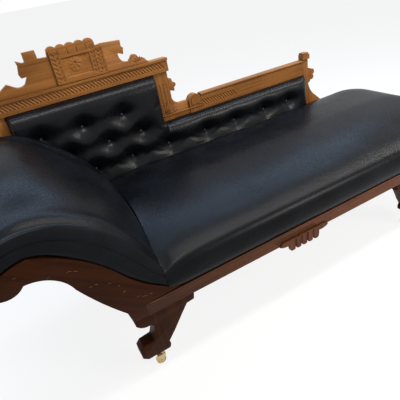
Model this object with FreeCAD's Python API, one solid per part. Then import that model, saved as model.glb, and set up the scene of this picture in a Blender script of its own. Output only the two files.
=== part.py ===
import FreeCAD
import Part
import math
import os

# Fainting couch in carved oak: a raised head end on two sawn sweeps, a long sprung seat with a
# rounded foot, a carved tall back that steps down to a low back rail, and four splayed legs on
# casters.  Every piece of the couch is a solid of its own.
#
# Local measures, in millimetres: X runs from the inner ledge of the head-end legs towards the foot,
# Y from the front face of the seat rails towards the back, and Z up from the underside of the rails.
# At the end each piece is moved so that X and Y are zero at mid length and mid depth, and Z is zero
# on the floor.

V = FreeCAD.Vector

# Driving dimensions

# Overall
head_reach = 515.0          # from the head legs' ledge to the outermost leather of the head roll
foot_reach = 1318.0         # from the same ledge to the outermost leather of the foot
rail_clearance = 228.0      # floor to the underside of the seat rails
seat_depth = 585.0          # front face of the front rail to the rear face of the rear rail
back_thickness = 28.0       # stiles and rails of the back frame, bolted behind the seat frame
leather_proud = 7.0         # the leather rolls bulge this far past the faces of the rails
soft_gap = 0.3              # upholstery stays this far from its neighbours

# Seat frame
rail_height = 45.0
rail_thickness = 28.0
rail_bead = 3.0             # radius of the bead along the top of the front rail
rope_left = 308.0           # ends of the roped band that is cut in the front rail above the drop
rope_right = 495.0
rope_low = 14.0             # lower and upper edge of the band
rope_high = 32.0
rope_pitch = 6.5
rope_depth = 1.6
drop_centre = 436.0         # middle of the carved drop, past the ledge
drop_proud = 5.0            # the drop stands this far off the front rail
drop_top = 11.0
drop_lobes = 5
lobe_pitch = 26.0
lobe_hang = 37.0            # tips of the lobes below the rail
lobe_notch = 10.0           # height of the notch between two lobes
drop_shoulder = 42.0        # length of the shoulder at each end of the lobes
foot_corner = 130.0         # radius of the bent corners of the foot rail
leg_spacing = 905.0         # ledge of the head legs to ledge of the foot legs
stretcher_width = 40.0
block_side = 70.0           # leg length of the triangular corner blocks
block_height = 30.0

# Sweep of the head end
sweep_run = 492.0           # from the head legs' ledge to the nose of the sweep
sweep_rise = 335.0          # crown of the sweep above the underside of the rails
sweep_thickness = 28.0
rail_end = 150.0            # the rails run this far past the ledge, under the sweep
nose_rail_side = 26.0       # the rail between the noses of the sweeps is square
nose_rail_inset = 14.0
slat_width = 46.0
slat_thickness = 14.0
slat_sink = 2.2             # slats lie this far under the upper edge of the sweep
lining_thickness = 1.6

# Legs
leg_thickness = 45.0
leg_height = 162.0          # underside of the rail to the sole of the leg
leg_head = 196.0            # the leg's upper end, and the sweep's heel on it, run this far past the ledge
leg_reach = 207.0           # ledge to the outermost point of the leg's scroll
leg_rake_relief = 35.0      # the foot legs rake this much less at the sole than the head legs
dowel_diameter = 10.0
dowel_depth = 20.0

# Casters
caster_place = 143.0        # ledge of a head leg to the axis of its swivel
caster_wheel_diameter = 32.0
caster_wheel_width = 14.0
caster_trail = 9.0
caster_stem_diameter = 8.0
caster_stem_length = 30.0
caster_sleeve_wall = 2.0
caster_flange_diameter = 32.0
caster_flange_thickness = 2.5
caster_axle_diameter = 5.0
caster_cheek = 3.0
running_gap = 0.05          # radial clearance of stems and axles
end_gap = 0.4               # play beside the wheel and above the fork

# Back frame
stile_width = 57.0
tall_back_left = -356.0     # outer edge of the head-end stile
tall_back_inner = 242.0     # inner edge of the foot-end stile
tall_back_top = 525.0       # underside of the cornice
cornice_height = 49.0
cornice_proud = 6.0
cornice_overhang = 8.0
low_back_bottom = 336.0     # underside of the low back rail
low_back_top = 403.0
post_left = 979.0
post_width = 27.0
post_top = 405.0
cap_height = 20.0           # moulded block on the end post, with a thinner top on it
cap_top_height = 8.0
lower_rail_height = 60.0
end_bracket_reach = 79.0    # the sawn bracket runs this far past the end post
end_bracket_drop = 117.0    # top of the post to the top of the bracket
end_bracket_flare = 98.0    # height of its flared edge
panel_thickness = 6.0
panel_setback = 12.0        # panel front behind the face of the stiles
bracket_width = 71.0
cove_depth = 14.0           # lowest point of the bracket's cove under the top of the low rail
cove_rise = 22.0            # the cove runs out on the stile this far above the low rail
bracket_setback = 5.0       # face of the cove bracket above its ledge, behind the stile
ledge_height = 355.0        # underside of the ledge along stile, bracket and boss
ledge_thickness = 4.0
ledge_proud = 3.0
boss_width = 58.0
boss_top = 409.0
boss_proud = 3.0
arch_inset = 9.0            # margin round the raised arch on the boss
arch_proud = 2.0
ear_setback = 2.0           # faces of the sawn ears behind those of the posts

# Crest
crest_thickness = 22.0
crest_height = 125.0        # crest above the cornice
crest_setback = 1.0         # face of the crest behind that of the stiles
crest_bumps = 5
bump_left = -102.0
bump_right = 56.0
bump_rise = 9.0
crest_panel_proud = 8.0
crest_panel_left = -100.0
crest_panel_right = 76.0
crest_panel_drop = 14.0     # upper edge of the panel under the tops of the bumps
field_left = -68.0          # sunk square field of the panel
field_right = 30.0
field_low = 19.0            # above the cornice
field_high = 83.0
field_depth = 5.0
strip_margin = 4.0          # the leaf strips beside the field keep this rim
strip_depth = 1.5
rosette_radius = 17.0
rosette_petals = 6
reed_pitch = 12.5
reed_lean = 0.8             # a reed leans this share of its height, its top towards the head end
reed_depth = 2.0

# Upholstery
pad_projection = 45.0       # the tufted pad stands this far in front of the stiles
pad_bottom = 150.0
pad_round = 16.0            # rounding of the pad's edges
button_diameter = 20.0
tuft_depth = 14.0
tuft_radius = 32.0
pleat_width = 9.0
pleat_depth = 6.0
seat_ridge = 145.0          # height of the front edge roll
seat_crown = 214.0
notch_x = -62.0             # crease between head cushion and seat at the front
notch_height = 119.0
crease_lean = 24.0          # the crease leans this far towards the foot at mid depth
spring_diameter = 80.0
spring_waist = 46.0
spring_height = 116.0
spring_wire = 3.5
spring_rows = 2
springs_per_row = 7
strap_width = 50.0
strap_thickness = 2.0
cover_thickness = 1.0
tack_edge = 8.0             # straps and dust cover stop this far inside the face of the rails

# Tuft rows of the back: height of a row and the places of its buttons
tuft_rows = (
    (435.0, (-222.0, -76.0, 77.0)),
    (348.0, (-149.0, 2.0, 136.0)),
    (262.0, (-75.0, 75.0, 236.0, 400.0, 550.0, 708.0, 855.0)),
)

# Sizes that follow

back_rear = seat_depth + back_thickness
panel_front = seat_depth + panel_setback
pad_rear = panel_front - soft_gap
pad_front = seat_depth - pad_projection
pad_left = tall_back_left + stile_width
cornice_top = tall_back_top + cornice_height
stile_right = tall_back_inner + stile_width
bracket_right = stile_right + bracket_width
boss_right = bracket_right + boss_width
post_right = post_left + post_width
foot_face = foot_reach - leather_proud
straight_end = foot_face - foot_corner
caster_height = rail_clearance - leg_height
wheel_radius = caster_wheel_diameter / 2.0
shift = V((head_reach - foot_reach) / 2.0, (leather_proud - back_rear) / 2.0, rail_clearance)

nodes = {}


def keep(name, shape):
    """Move a finished piece from local measures to the couch's frame and file it under its name."""
    moved = shape.copy()
    moved.translate(shift)
    if moved.ShapeType == "Compound" and len(moved.Solids) == 1:
        moved = moved.Solids[0]
    nodes[name] = moved


def outline(start, steps, y=0.0):
    """Closed face in a plane of constant Y.  A step is an (x, z) end point of a line, or a pair of
    (x, z) points, midway and end, of an arc."""
    edges = []
    here = V(start[0], y, start[1])
    first = here
    for step in steps:
        if isinstance(step[0], tuple):
            middle = V(step[0][0], y, step[0][1])
            end = V(step[1][0], y, step[1][1])
            edges.append(Part.Arc(here, middle, end).toShape())
        else:
            end = V(step[0], y, step[1])
            edges.append(Part.makeLine(here, end))
        here = end
    if here.distanceToPoint(first) > 0.001:
        edges.append(Part.makeLine(here, first))
    return Part.Face(Part.Wire(edges))


def sawn(start, steps, front, rear):
    """Board sawn to an outline, between two planes of constant Y."""
    return outline(start, steps, front).extrude(V(0, rear - front, 0))


def box(x0, x1, y0, y1, z0, z1):
    return Part.makeBox(x1 - x0, y1 - y0, z1 - z0, V(x0, y0, z0))


def upright(radius, bottom, top, x, y):
    """Vertical cylinder."""
    return Part.makeCylinder(radius, top - bottom, V(x, y, bottom))


def across(radius, y0, y1, x, z):
    """Cylinder along Y."""
    return Part.makeCylinder(radius, y1 - y0, V(x, y0, z), V(0, 1, 0))


def group(solids):
    return Part.makeCompound(solids)


# Sweep of the head end: both edges are chains of arcs given as shares of its run and rise

def sweep_point(run, rise):
    return (-run * sweep_run, rail_height + rise * (sweep_rise - rail_height))


sweep_upper = [sweep_point(*p) for p in (
    (0.069, 0.021), (0.244, 0.210), (0.386, 0.486), (0.549, 0.790),
    (0.762, 1.000), (0.894, 0.941), (1.000, 0.817))]
sweep_lower = [sweep_point(*p) for p in (
    (1.000, 0.817), (0.911, 0.710), (0.821, 0.776), (0.744, 0.755),
    (0.616, 0.524), (0.508, 0.217), (0.415, 0.000))]


def sweep_arcs(points):
    """Arcs through three points each, starting after the first point."""
    return [(points[i], points[i + 1]) for i in range(1, len(points) - 1, 2)]


def head_sweep(front):
    """One side board of the head end, standing on the rail and scribed round its end."""
    steps = sweep_arcs(sweep_upper)
    steps.append((sweep_lower[1], sweep_lower[2]))
    steps.append((sweep_lower[3], sweep_lower[4]))
    steps.append((sweep_lower[5], sweep_lower[6]))
    steps.append((-leg_head, 0.0))
    steps.append((-rail_end, 0.0))
    steps.append((-rail_end, rail_height))
    return sawn(sweep_upper[0], steps, front, front + sweep_thickness)


def head_slats():
    """Slats between the sweeps, each lying just under the upper edge."""
    slats = []
    for start in range(0, len(sweep_upper) - 1, 2):
        a, b, c = sweep_upper[start:start + 3]
        arc = Part.Arc(V(a[0], 0, a[1]), V(b[0], 0, b[1]), V(c[0], 0, c[1])).toShape()
        count = max(1, int(arc.Length / (1.9 * slat_width)))
        for i in range(count):
            u = arc.getParameterByLength(arc.Length * (i + 0.5) / count)
            point = arc.valueAt(u)
            along = arc.tangentAt(u)
            down = V(along.z, 0, -along.x)
            if down.z > 0:
                down = down * -1
            corner = point + down * slat_sink - along * (slat_width / 2.0)
            corner.y = sweep_thickness + soft_gap
            far = corner + along * slat_width
            ring = [corner, far, far + down * slat_thickness, corner + down * slat_thickness, corner]
            face = Part.Face(Part.makePolygon(ring))
            slats.append(face.extrude(V(0, seat_depth - 2 * (sweep_thickness + soft_gap), 0)))
    return slats


def head_lining():
    """Thin cloth over the hollow underside of the head, between the sweeps."""
    rise = 6.0
    lower = [(x + rise, z + rise) for x, z in sweep_lower[2:]]
    upper = [(x + lining_thickness, z + lining_thickness) for x, z in lower]
    steps = [(lower[1], lower[2]), (lower[3], lower[4]), upper[4], (upper[3], upper[2]),
             (upper[1], upper[0])]
    return sawn(lower[0], steps, sweep_thickness + soft_gap, seat_depth - sweep_thickness - soft_gap)


# Legs

def leg_profile(end):
    """Sawn scroll leg, as shares of its reach and height: ledge and raked inner edge, sole, then the
    scroll and the waist of the outer edge.  The head legs rake towards the head.  The foot legs are
    their mirror image, with less rake."""
    def place(share, rise):
        x = -share * leg_reach
        if end == "head":
            return (x, rise * leg_height)
        return (leg_spacing - x + leg_rake_relief * rise, rise * leg_height)

    ledge = place(0.0, 0.0)
    steps = [place(0.019, -0.136), place(0.145, -0.154), (place(0.29, -0.398), place(0.425, -0.636)),
             place(0.551, -0.83), (place(0.539, -0.901), place(0.57, -1.0)), place(0.923, -1.0),
             place(1.0, -0.914), place(1.0, -0.753), place(0.937, -0.667), place(0.763, -0.642),
             (place(0.715, -0.457), place(0.7, -0.272)), place(0.749, -0.222)]
    waist = 1.0 - leg_head / leg_reach
    steps.append((place(0.922 - waist, -0.191), place(0.995 - waist, -0.093)))
    steps.append(place(1.0 - waist, 0.0))
    return ledge, steps


def swivel_place(end):
    """X of the swivel of a leg's caster."""
    if end == "head":
        return -caster_place
    return leg_spacing + caster_place - leg_rake_relief


def dowel_places(end):
    """X of the two dowels between a leg and its rail."""
    places = (-35.0, -120.0)
    if end == "head":
        return places
    return tuple(leg_spacing - x for x in places)


# Seat rails

def rail_section_cut(x0, x1):
    """Incised line along the face of the front rail, under its top bead."""
    depth = 1.5
    z = rail_height - 2.6 * rail_bead
    ring = [V(x0, -0.01, z - depth), V(x0, depth, z), V(x0, -0.01, z + depth), V(x0, -0.01, z - depth)]
    return Part.Face(Part.makePolygon(ring)).extrude(V(x1 - x0, 0, 0))


def front_rail():
    rail = box(-rail_end, straight_end, 0, rail_thickness, 0, rail_height)
    rail = rail.cut(rail_section_cut(-rail_end - 1, straight_end + 1))
    return reeded(rail, rope_left, rope_right, rope_low, rope_high, 0.0, rope_pitch, rope_depth)


def foot_rail():
    """Bent rail round the foot: two quarter bends and the straight between them."""
    def plan(inset):
        r = foot_corner - inset
        x0 = straight_end
        x1 = foot_face - inset
        y0 = inset
        y1 = seat_depth - inset
        k = r * (1 - math.sqrt(0.5))
        return [V(x0, y0, 0), V(x1 - k, y0 + k, 0), V(x1, y0 + r, 0), V(x1, y1 - r, 0),
                V(x1 - k, y1 - k, 0), V(x0, y1, 0)]
    a = plan(0.0)
    b = plan(rail_thickness)
    edges = [Part.Arc(a[0], a[1], a[2]).toShape(), Part.makeLine(a[2], a[3]),
             Part.Arc(a[3], a[4], a[5]).toShape(), Part.makeLine(a[5], b[5]),
             Part.Arc(b[5], b[4], b[3]).toShape(), Part.makeLine(b[3], b[2]),
             Part.Arc(b[2], b[1], b[0]).toShape(), Part.makeLine(b[0], a[0])]
    return Part.Face(Part.Wire(edges)).extrude(V(0, 0, rail_height))


def stretcher_places():
    """X of the low edge of each cross stretcher."""
    return (notch_x - 2, leg_spacing - stretcher_width - 30, straight_end - stretcher_width)


def corner_block(x, y, turn_x, turn_y):
    ring = [V(x, y, 0), V(x + turn_x * block_side, y, 0), V(x, y + turn_y * block_side, 0), V(x, y, 0)]
    block = Part.Face(Part.makePolygon(ring)).extrude(V(0, 0, block_height))
    return block


def block_corners():
    """Inner corners that hold a glued block: place and the way each block points."""
    near = rail_thickness
    far = seat_depth - rail_thickness
    first = stretcher_places()[0] + stretcher_width
    last = stretcher_places()[1]
    return ((first, near, 1, 1), (first, far, 1, -1), (last, near, -1, 1), (last, far, -1, -1))


def block_screw(x, y, turn_x, turn_y):
    """Screw through a corner block into the rail beside it."""
    start = V(x + turn_x * 24.0, y + turn_y * (block_side - 26.0), block_height / 2.0)
    way = V(0, -turn_y, 0)
    shank = Part.makeCylinder(2.2, block_side - 10.0, start, way)
    head = Part.makeCone(4.4, 2.2, 3.0, start, way)
    return shank.fuse(head)


# Carved drop under the front rail

def front_drop():
    """Applied piece on the lower edge of the rail: five pointed lobes with V grooves between them, and
    a low shoulder at each end."""
    half = drop_lobes * lobe_pitch / 2.0
    left = drop_centre - half
    right = drop_centre + half
    root = lobe_notch - lobe_hang
    corner = 0.12 * lobe_pitch
    shoulder_low = -0.22 * lobe_hang
    top_end = 0.7 * drop_shoulder
    steps = [(right + drop_shoulder, 0), ((right + 0.6 * drop_shoulder, 0.9 * shoulder_low),
             (right, shoulder_low)), (right, 0.7 * root)]
    for i in range(drop_lobes):
        high = right - i * lobe_pitch
        low = high - lobe_pitch
        steps.append((high - corner, 0.3 * root - 0.7 * lobe_hang))
        steps.append((((high + low) / 2.0, -lobe_hang), (low + corner, 0.3 * root - 0.7 * lobe_hang)))
        steps.append((low, root if i < drop_lobes - 1 else 0.7 * root))
    steps += [(left, shoulder_low), ((left - 0.6 * drop_shoulder, 0.9 * shoulder_low),
              (left - drop_shoulder, 0)), (left - top_end, drop_top)]
    piece = sawn((right + top_end, drop_top), steps, -drop_proud, tack_edge - soft_gap)
    piece = piece.cut(box(left - half, right + half, 0, tack_edge, 0, rail_height))
    grooves = []
    w = 0.16 * lobe_pitch
    for i in range(drop_lobes - 1):
        x = left + (i + 1) * lobe_pitch
        under = -lobe_hang - 1.0
        ring = [V(x - w, -drop_proud - 0.2, under), V(x, -0.25 * drop_proud, under),
                V(x + w, -drop_proud - 0.2, under), V(x - w, -drop_proud - 0.2, under)]
        grooves.append(Part.Face(Part.makePolygon(ring)).extrude(V(0, 0, 0.6 * drop_top - under)))
    return piece.cut(grooves)


# Casters

def caster(end, side):
    """Socket, fork, axle and wheel of one caster, in local measures, and its swivel place."""
    x = swivel_place(end)
    y = leg_thickness / 2.0
    if side == "rear":
        y = seat_depth - y
    sole = -leg_height
    floor = -rail_clearance
    stem = caster_stem_diameter / 2.0
    sleeve = stem + running_gap + caster_sleeve_wall
    flange_low = sole - caster_flange_thickness
    stem_top = sole + caster_stem_length
    socket = upright(sleeve, sole, stem_top + 3.0, x, y)
    socket = socket.fuse(upright(caster_flange_diameter / 2.0, flange_low, sole, x, y))
    socket = socket.cut(upright(stem + running_gap, flange_low - 1, stem_top + 1.0, x, y))
    fork_top = flange_low - end_gap
    axle_z = floor + wheel_radius
    crown_low = axle_z + wheel_radius + 3.0
    crown_high = crown_low + 6.0
    half = caster_wheel_width / 2.0 + end_gap
    outer = half + caster_cheek
    ax = x - caster_trail
    neck = upright(8.0, crown_high, fork_top, x, y).fuse(upright(stem, fork_top - 1, stem_top, x, y))
    collar = upright(11.0, fork_top - 3.0, fork_top, x, y)
    crown = box(ax - 9.0, x + 8.0, y - outer, y + outer, crown_low, crown_high)
    fork = neck.fuse(collar).fuse(crown)
    for low, high in ((y - outer, y - half), (y + half, y + outer)):
        cheek = sawn((ax - 9.0, crown_high),
                     [(ax - 7.0, axle_z), ((ax, axle_z - 7.0), (ax + 7.0, axle_z)),
                      (x + 8.0, crown_low), (x + 8.0, crown_high)], low, high)
        fork = fork.fuse(cheek)
    pin = caster_axle_diameter / 2.0
    axle = across(pin, y - outer - 1.5, y + outer + 1.5, ax, axle_z)
    for y0, y1 in ((y - outer - 2.5, y - outer), (y + outer, y + outer + 2.5)):
        axle = axle.fuse(across(pin + 1.6, y0, y1, ax, axle_z))
    fork = fork.cut(across(pin, y - outer - 3, y + outer + 3, ax, axle_z)).removeSplitter()
    w = caster_wheel_width / 2.0
    r = wheel_radius
    profile = [V(ax, y - w, axle_z + pin + running_gap), V(ax, y - w, axle_z + 0.55 * r),
               V(ax, y - w + 2.0, axle_z + 0.62 * r), V(ax, y - w + 2.0, axle_z + 0.82 * r),
               V(ax, y - w, axle_z + 0.9 * r), V(ax, y - w, axle_z + r - 1.0),
               V(ax, y - w + 1.5, axle_z + r), V(ax, y + w - 1.5, axle_z + r),
               V(ax, y + w, axle_z + r - 1.0), V(ax, y + w, axle_z + 0.9 * r),
               V(ax, y + w - 2.0, axle_z + 0.82 * r), V(ax, y + w - 2.0, axle_z + 0.62 * r),
               V(ax, y + w, axle_z + 0.55 * r), V(ax, y + w, axle_z + pin + running_gap)]
    profile.append(profile[0])
    wheel = Part.Face(Part.makePolygon(profile)).revolve(V(ax, y, axle_z), V(0, 1, 0), 360)
    return socket, fork, axle.removeSplitter(), wheel, sleeve


# Back frame

def fluted(board, x0, x1, z0, z1, count, face):
    """Cut upright V flutes into a face of constant Y."""
    pitch = (x1 - x0) / count
    for i in range(count):
        x = x0 + (i + 0.5) * pitch
        w = 0.32 * pitch
        ring = [V(x - w, face - 0.01, z0), V(x, face + 2.0, z0), V(x + w, face - 0.01, z0),
                V(x - w, face - 0.01, z0)]
        board = board.cut(Part.Face(Part.makePolygon(ring)).extrude(V(0, 0, z1 - z0)))
    return board


def reeded(board, x0, x1, z0, z1, face, pitch, depth):
    """Cut slanting V grooves, one pitch apart, into a face of constant Y."""
    lean = reed_lean * (z1 - z0)
    count = int((x1 - x0 - lean) / pitch)
    cuts = []
    for i in range(count + 1):
        x = x0 + lean + i * pitch
        w = 0.36 * pitch
        ring = [V(x - w, face - 0.01, z0), V(x, face + depth, z0), V(x + w, face - 0.01, z0),
                V(x - w, face - 0.01, z0)]
        cuts.append(Part.Face(Part.makePolygon(ring)).extrude(V(-lean, 0, z1 - z0)))
    return board.cut(cuts)


def ledge(x0, x1, face):
    """Length of the ledge that runs across stile, bracket and boss, rounded on its front."""
    low = ledge_height
    high = low + ledge_thickness
    front = face - ledge_proud
    ring = [V(x0, face, low), V(x0, front + 1.0, low), V(x0, front, (low + high) / 2.0),
            V(x0, front + 1.0, high), V(x0, face, high), V(x0, face, low)]
    return Part.Face(Part.makePolygon(ring)).extrude(V(x1 - x0, 0, 0))


def stile_head():
    """Head-end stile, lapped on the rear sweep.  Its foot is rounded on the inside."""
    foot = sweep_rise - 85.0
    steps = [(pad_left, tall_back_top), (pad_left, foot + 150), ((pad_left - 8, foot + 60),
             (pad_left - 22, foot)), (tall_back_left, foot)]
    return sawn((tall_back_left, tall_back_top), steps, seat_depth, back_rear)


def stile_foot():
    """Foot-end stile: full thickness above the low rail, thinned behind the pad, full again below."""
    stile = box(tall_back_inner, stile_right, seat_depth, back_rear, lower_rail_height, tall_back_top)
    stile = stile.cut(box(tall_back_inner - 1, stile_right + 1, seat_depth - 1, panel_front,
                          lower_rail_height - 1, low_back_bottom))
    stile = fluted(stile, tall_back_inner + 8, stile_right - 5, low_back_top - 9, tall_back_top - 45,
                   3, seat_depth)
    return stile.fuse(ledge(tall_back_inner + 2, stile_right, seat_depth)).removeSplitter()


def cornice_rail():
    """Cornice across the tall back, with a fillet, a slanting reeded band and a cap."""
    x0 = tall_back_left - cornice_overhang
    x1 = stile_right + cornice_overhang
    face = seat_depth - cornice_proud
    rail = box(x0, x1, face, back_rear, tall_back_top, cornice_top)
    cap = box(x0 - 2, x1 + 2, face - 3, back_rear, cornice_top - 9, cornice_top)
    rail = reeded(rail, x0 + 10, x1 - 10, tall_back_top + 14, cornice_top - 13, face, reed_pitch,
                  reed_depth)
    return rail.fuse(cap).removeSplitter()


def crest_point(across_share, rise):
    """Point of the crest's outline from shares of the tall back's width and of the crest's height."""
    return (tall_back_left + across_share * (stile_right - tall_back_left), cornice_top + rise * crest_height)


def crest_board():
    """Sawn crest: from the head side a spike and a cove, an ear, the raised head block, the middle
    with its row of rounded bumps, the lower shelf, an ear, a cove and a low fan."""
    at = crest_point
    valley = cornice_top + crest_height - bump_rise
    pitch = (bump_right - bump_left) / crest_bumps
    steps = [at(0.088, 0.1), at(0.111, 0.216), at(0.153, 0.352), at(0.186, 0.24),
             (at(0.211, 0.2), at(0.24, 0.256)), at(0.26, 0.424), at(0.231, 0.416), at(0.225, 0.504),
             at(0.235, 0.72), at(0.231, 0.84), at(0.263, 0.76), at(0.272, 0.776), at(0.273, 1.0),
             at(0.334, 1.0), at(0.336, 0.784), at(0.383, 0.768), (bump_left, valley)]
    for i in range(crest_bumps):
        x = bump_left + i * pitch
        steps.append(((x + pitch / 2.0, valley + bump_rise), (x + pitch, valley)))
    steps += [at(0.632, 0.768), at(0.669, 0.792), at(0.748, 0.768), at(0.771, 0.76), at(0.769, 0.6),
              at(0.779, 0.552), at(0.772, 0.376), at(0.743, 0.44), (at(0.752, 0.24), at(0.779, 0.16)),
              at(0.795, 0.144), at(0.812, 0.232), (at(0.83, 0.304), at(0.847, 0.248)), at(0.853, 0.2),
              at(0.884, 0.144), at(0.904, 0.016), at(0.91, 0.0)]
    front = seat_depth + crest_setback
    return sawn(at(0.076, 0.0), steps, front, front + crest_thickness)


def crest_panel():
    """Raised panel on the middle of the crest, stepped down past the bumps: sunk square field with a
    rosette, a sunk strip each side, and a short cut under each valley of the bumps."""
    base = cornice_top
    back = seat_depth + crest_setback
    face = back - crest_panel_proud
    foot = base + 2.0
    top = base + crest_height - crest_panel_drop
    step = base + 0.74 * crest_height
    panel = sawn((crest_panel_left, foot), [(crest_panel_right, foot), (crest_panel_right, step),
                                            (bump_right, step), (bump_right, top), (crest_panel_left, top)],
                 face, back)
    low = base + field_low
    high = base + field_high
    cuts = [box(field_left, field_right, face - 1, face + field_depth, low, high)]
    for x0, x1 in ((crest_panel_left, field_left), (field_right, crest_panel_right)):
        cuts.append(box(x0 + strip_margin, x1 - strip_margin, face - 1, face + strip_depth, low, high))
    pitch = (bump_right - bump_left) / crest_bumps
    for i in range(1, crest_bumps):
        x = bump_left + i * pitch
        cuts.append(box(x - 1, x + 1, face - 1, face + strip_depth, high + strip_margin, top + 1))
    panel = panel.cut(cuts)
    x = (field_left + field_right) / 2.0
    z = (low + high) / 2.0
    floor = face + field_depth
    flower = [across(0.36 * rosette_radius, floor - 3.5, floor, x, z)]
    reach = 0.62 * rosette_radius
    for i in range(rosette_petals):
        a = 2 * math.pi * i / rosette_petals
        flower.append(across(0.38 * rosette_radius, floor - 2.0, floor, x + reach * math.cos(a),
                             z + reach * math.sin(a)))
    return panel.fuse(flower).removeSplitter()


def stile_ear():
    """Sawn ear on the outer edge of the foot-end stile, in the stretch from the cove to the cornice."""
    x = stile_right
    low = low_back_top + cove_rise
    free = tall_back_top - low
    steps = [(x, low + 0.67 * free), (x + 14, low + 0.68 * free), (x + 18, low + 0.52 * free),
             ((x + 29, low + 0.43 * free), (x + 21, low + 0.34 * free)), (x + 19, low + 0.18 * free),
             (x + 1, low + 0.24 * free)]
    return sawn((x, low + 0.2 * free), steps, seat_depth + ear_setback, back_rear - ear_setback)


def cove_bracket():
    """Bracket between the tall back and the boss, sawn to a cove.  Its face is set back above the
    ledge."""
    x = stile_right
    low = low_back_bottom
    cove = low_back_top - cove_depth
    steps = [(bracket_right, low), (bracket_right, cove), (bracket_right - 20, cove + 1),
             ((x + 16, cove + 9), (x, low_back_top + cove_rise))]
    board = sawn((x, low), steps, seat_depth, back_rear)
    board = board.cut(box(x, bracket_right, seat_depth, seat_depth + bracket_setback,
                          ledge_height + ledge_thickness, tall_back_top))
    return board.fuse(ledge(x, bracket_right, seat_depth)).removeSplitter()


def tombstone(x0, x1, low, top, front, rear):
    """Block with upright sides and a round top."""
    r = (x1 - x0) / 2.0
    return sawn((x0, low), [(x1, low), (x1, top - r), ((x0 + r, top), (x0, top - r))], front, rear)


def round_boss():
    """Block with a round top and a raised arch on its face, where the low rail starts."""
    face = seat_depth - boss_proud
    block = tombstone(bracket_right, boss_right, low_back_bottom, boss_top, face, back_rear)
    sill = ledge_height + ledge_thickness + arch_inset
    arch = tombstone(bracket_right + arch_inset, boss_right - arch_inset, sill, boss_top - arch_inset,
                     face - arch_proud, face)
    block = block.fuse(arch).fuse(ledge(bracket_right, boss_right, face))
    return block.removeSplitter()


def low_back_rail():
    """Low rail with a bead along its top and a short run of slanting reeds beside the boss."""
    rail = box(boss_right, post_left, seat_depth, back_rear, low_back_bottom, low_back_top)
    bead = Part.makeCylinder(5.0, post_left - boss_right, V(boss_right, seat_depth + 2.0, low_back_top - 5.0),
                             V(1, 0, 0))
    rail = reeded(rail, boss_right - 12, boss_right + 172, low_back_bottom + 16, low_back_top - 27,
                  seat_depth, reed_pitch, reed_depth)
    return rail.fuse(bead).removeSplitter()


def end_post_cap():
    x0 = post_left - 5
    x1 = post_right + 6
    z = post_top + cap_height
    cap = box(x0, x1, seat_depth - 5, back_rear, post_top, z)
    top = box(x0 + 4, x1 - 4, seat_depth - 2, back_rear, z, z + cap_top_height)
    return cap.fuse(top).removeSplitter()


def end_post_ear():
    x = post_right
    z = post_top - 75.0
    steps = [(x, z + 32), (x + 14, z + 28), (x + 17, z + 20), ((x + 38, z + 14), (x + 30, z - 4)),
             ((x + 34, z - 18), (x + 16, z - 24)), (x + 10, z - 34), (x, z - 38)]
    return sawn((x, z), steps, seat_depth + ear_setback, back_rear - ear_setback)


def end_post_bracket():
    """Sawn bracket that flares from the end post down to the back of the seat."""
    x = post_right
    top = post_top - end_bracket_drop
    toe = x + end_bracket_reach
    steps = [((x + 0.2 * end_bracket_reach, top - 0.37 * end_bracket_flare),
              (x + 0.53 * end_bracket_reach, top - 0.65 * end_bracket_flare)),
             (toe, top - end_bracket_flare), (toe, lower_rail_height), (x, lower_rail_height)]
    return sawn((x, top), steps, seat_depth, back_rear)


# Upholstery

def seat_plan(z, front, rear, foot, head_inset):
    """Plan outline of the seat cushion at one height.  Insets draw in the front, rear and foot."""
    x0 = notch_x - 30.0 + head_inset
    x1 = foot_face - foot
    y0 = front
    y1 = seat_depth - soft_gap - rear
    r0 = max(foot_corner - (front + foot) / 2.0, 40.0)
    r1 = max(foot_corner - (rear + foot) / 2.0, 40.0)
    k0 = r0 * (1 - math.sqrt(0.5))
    k1 = r1 * (1 - math.sqrt(0.5))
    p = [V(x0, y0, z), V(x1 - r0, y0, z), V(x1 - k0, y0 + k0, z), V(x1, y0 + r0, z),
         V(x1, y1 - r1, z), V(x1 - k1, y1 - k1, z), V(x1 - r1, y1, z), V(x0, y1, z)]
    edges = [Part.makeLine(p[0], p[1]), Part.Arc(p[1], p[2], p[3]).toShape(), Part.makeLine(p[3], p[4]),
             Part.Arc(p[4], p[5], p[6]).toShape(), Part.makeLine(p[6], p[7]), Part.makeLine(p[7], p[0])]
    return Part.Wire(edges)


def crease_side(foot_side):
    """Region on one side of the crease: upright below the notch, leaning to the foot above it."""
    gap = soft_gap if foot_side else -soft_gap
    far = 2000.0 if foot_side else -2000.0
    x = notch_x + gap
    lean_top = notch_height + 78.0
    ring = [V(x, -100, -50), V(x, -100, notch_height), V(x + crease_lean, -100, lean_top),
            V(x + crease_lean, -100, 900), V(far, -100, 900), V(far, -100, -50), V(x, -100, -50)]
    return Part.Face(Part.makePolygon(ring)).extrude(V(0, 900, 0))


def pad_space():
    """Room that the back pad takes from the seat and head cushions."""
    return box(pad_left - 4, post_left, pad_front - soft_gap, back_rear, pad_bottom - soft_gap, 900)


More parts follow.
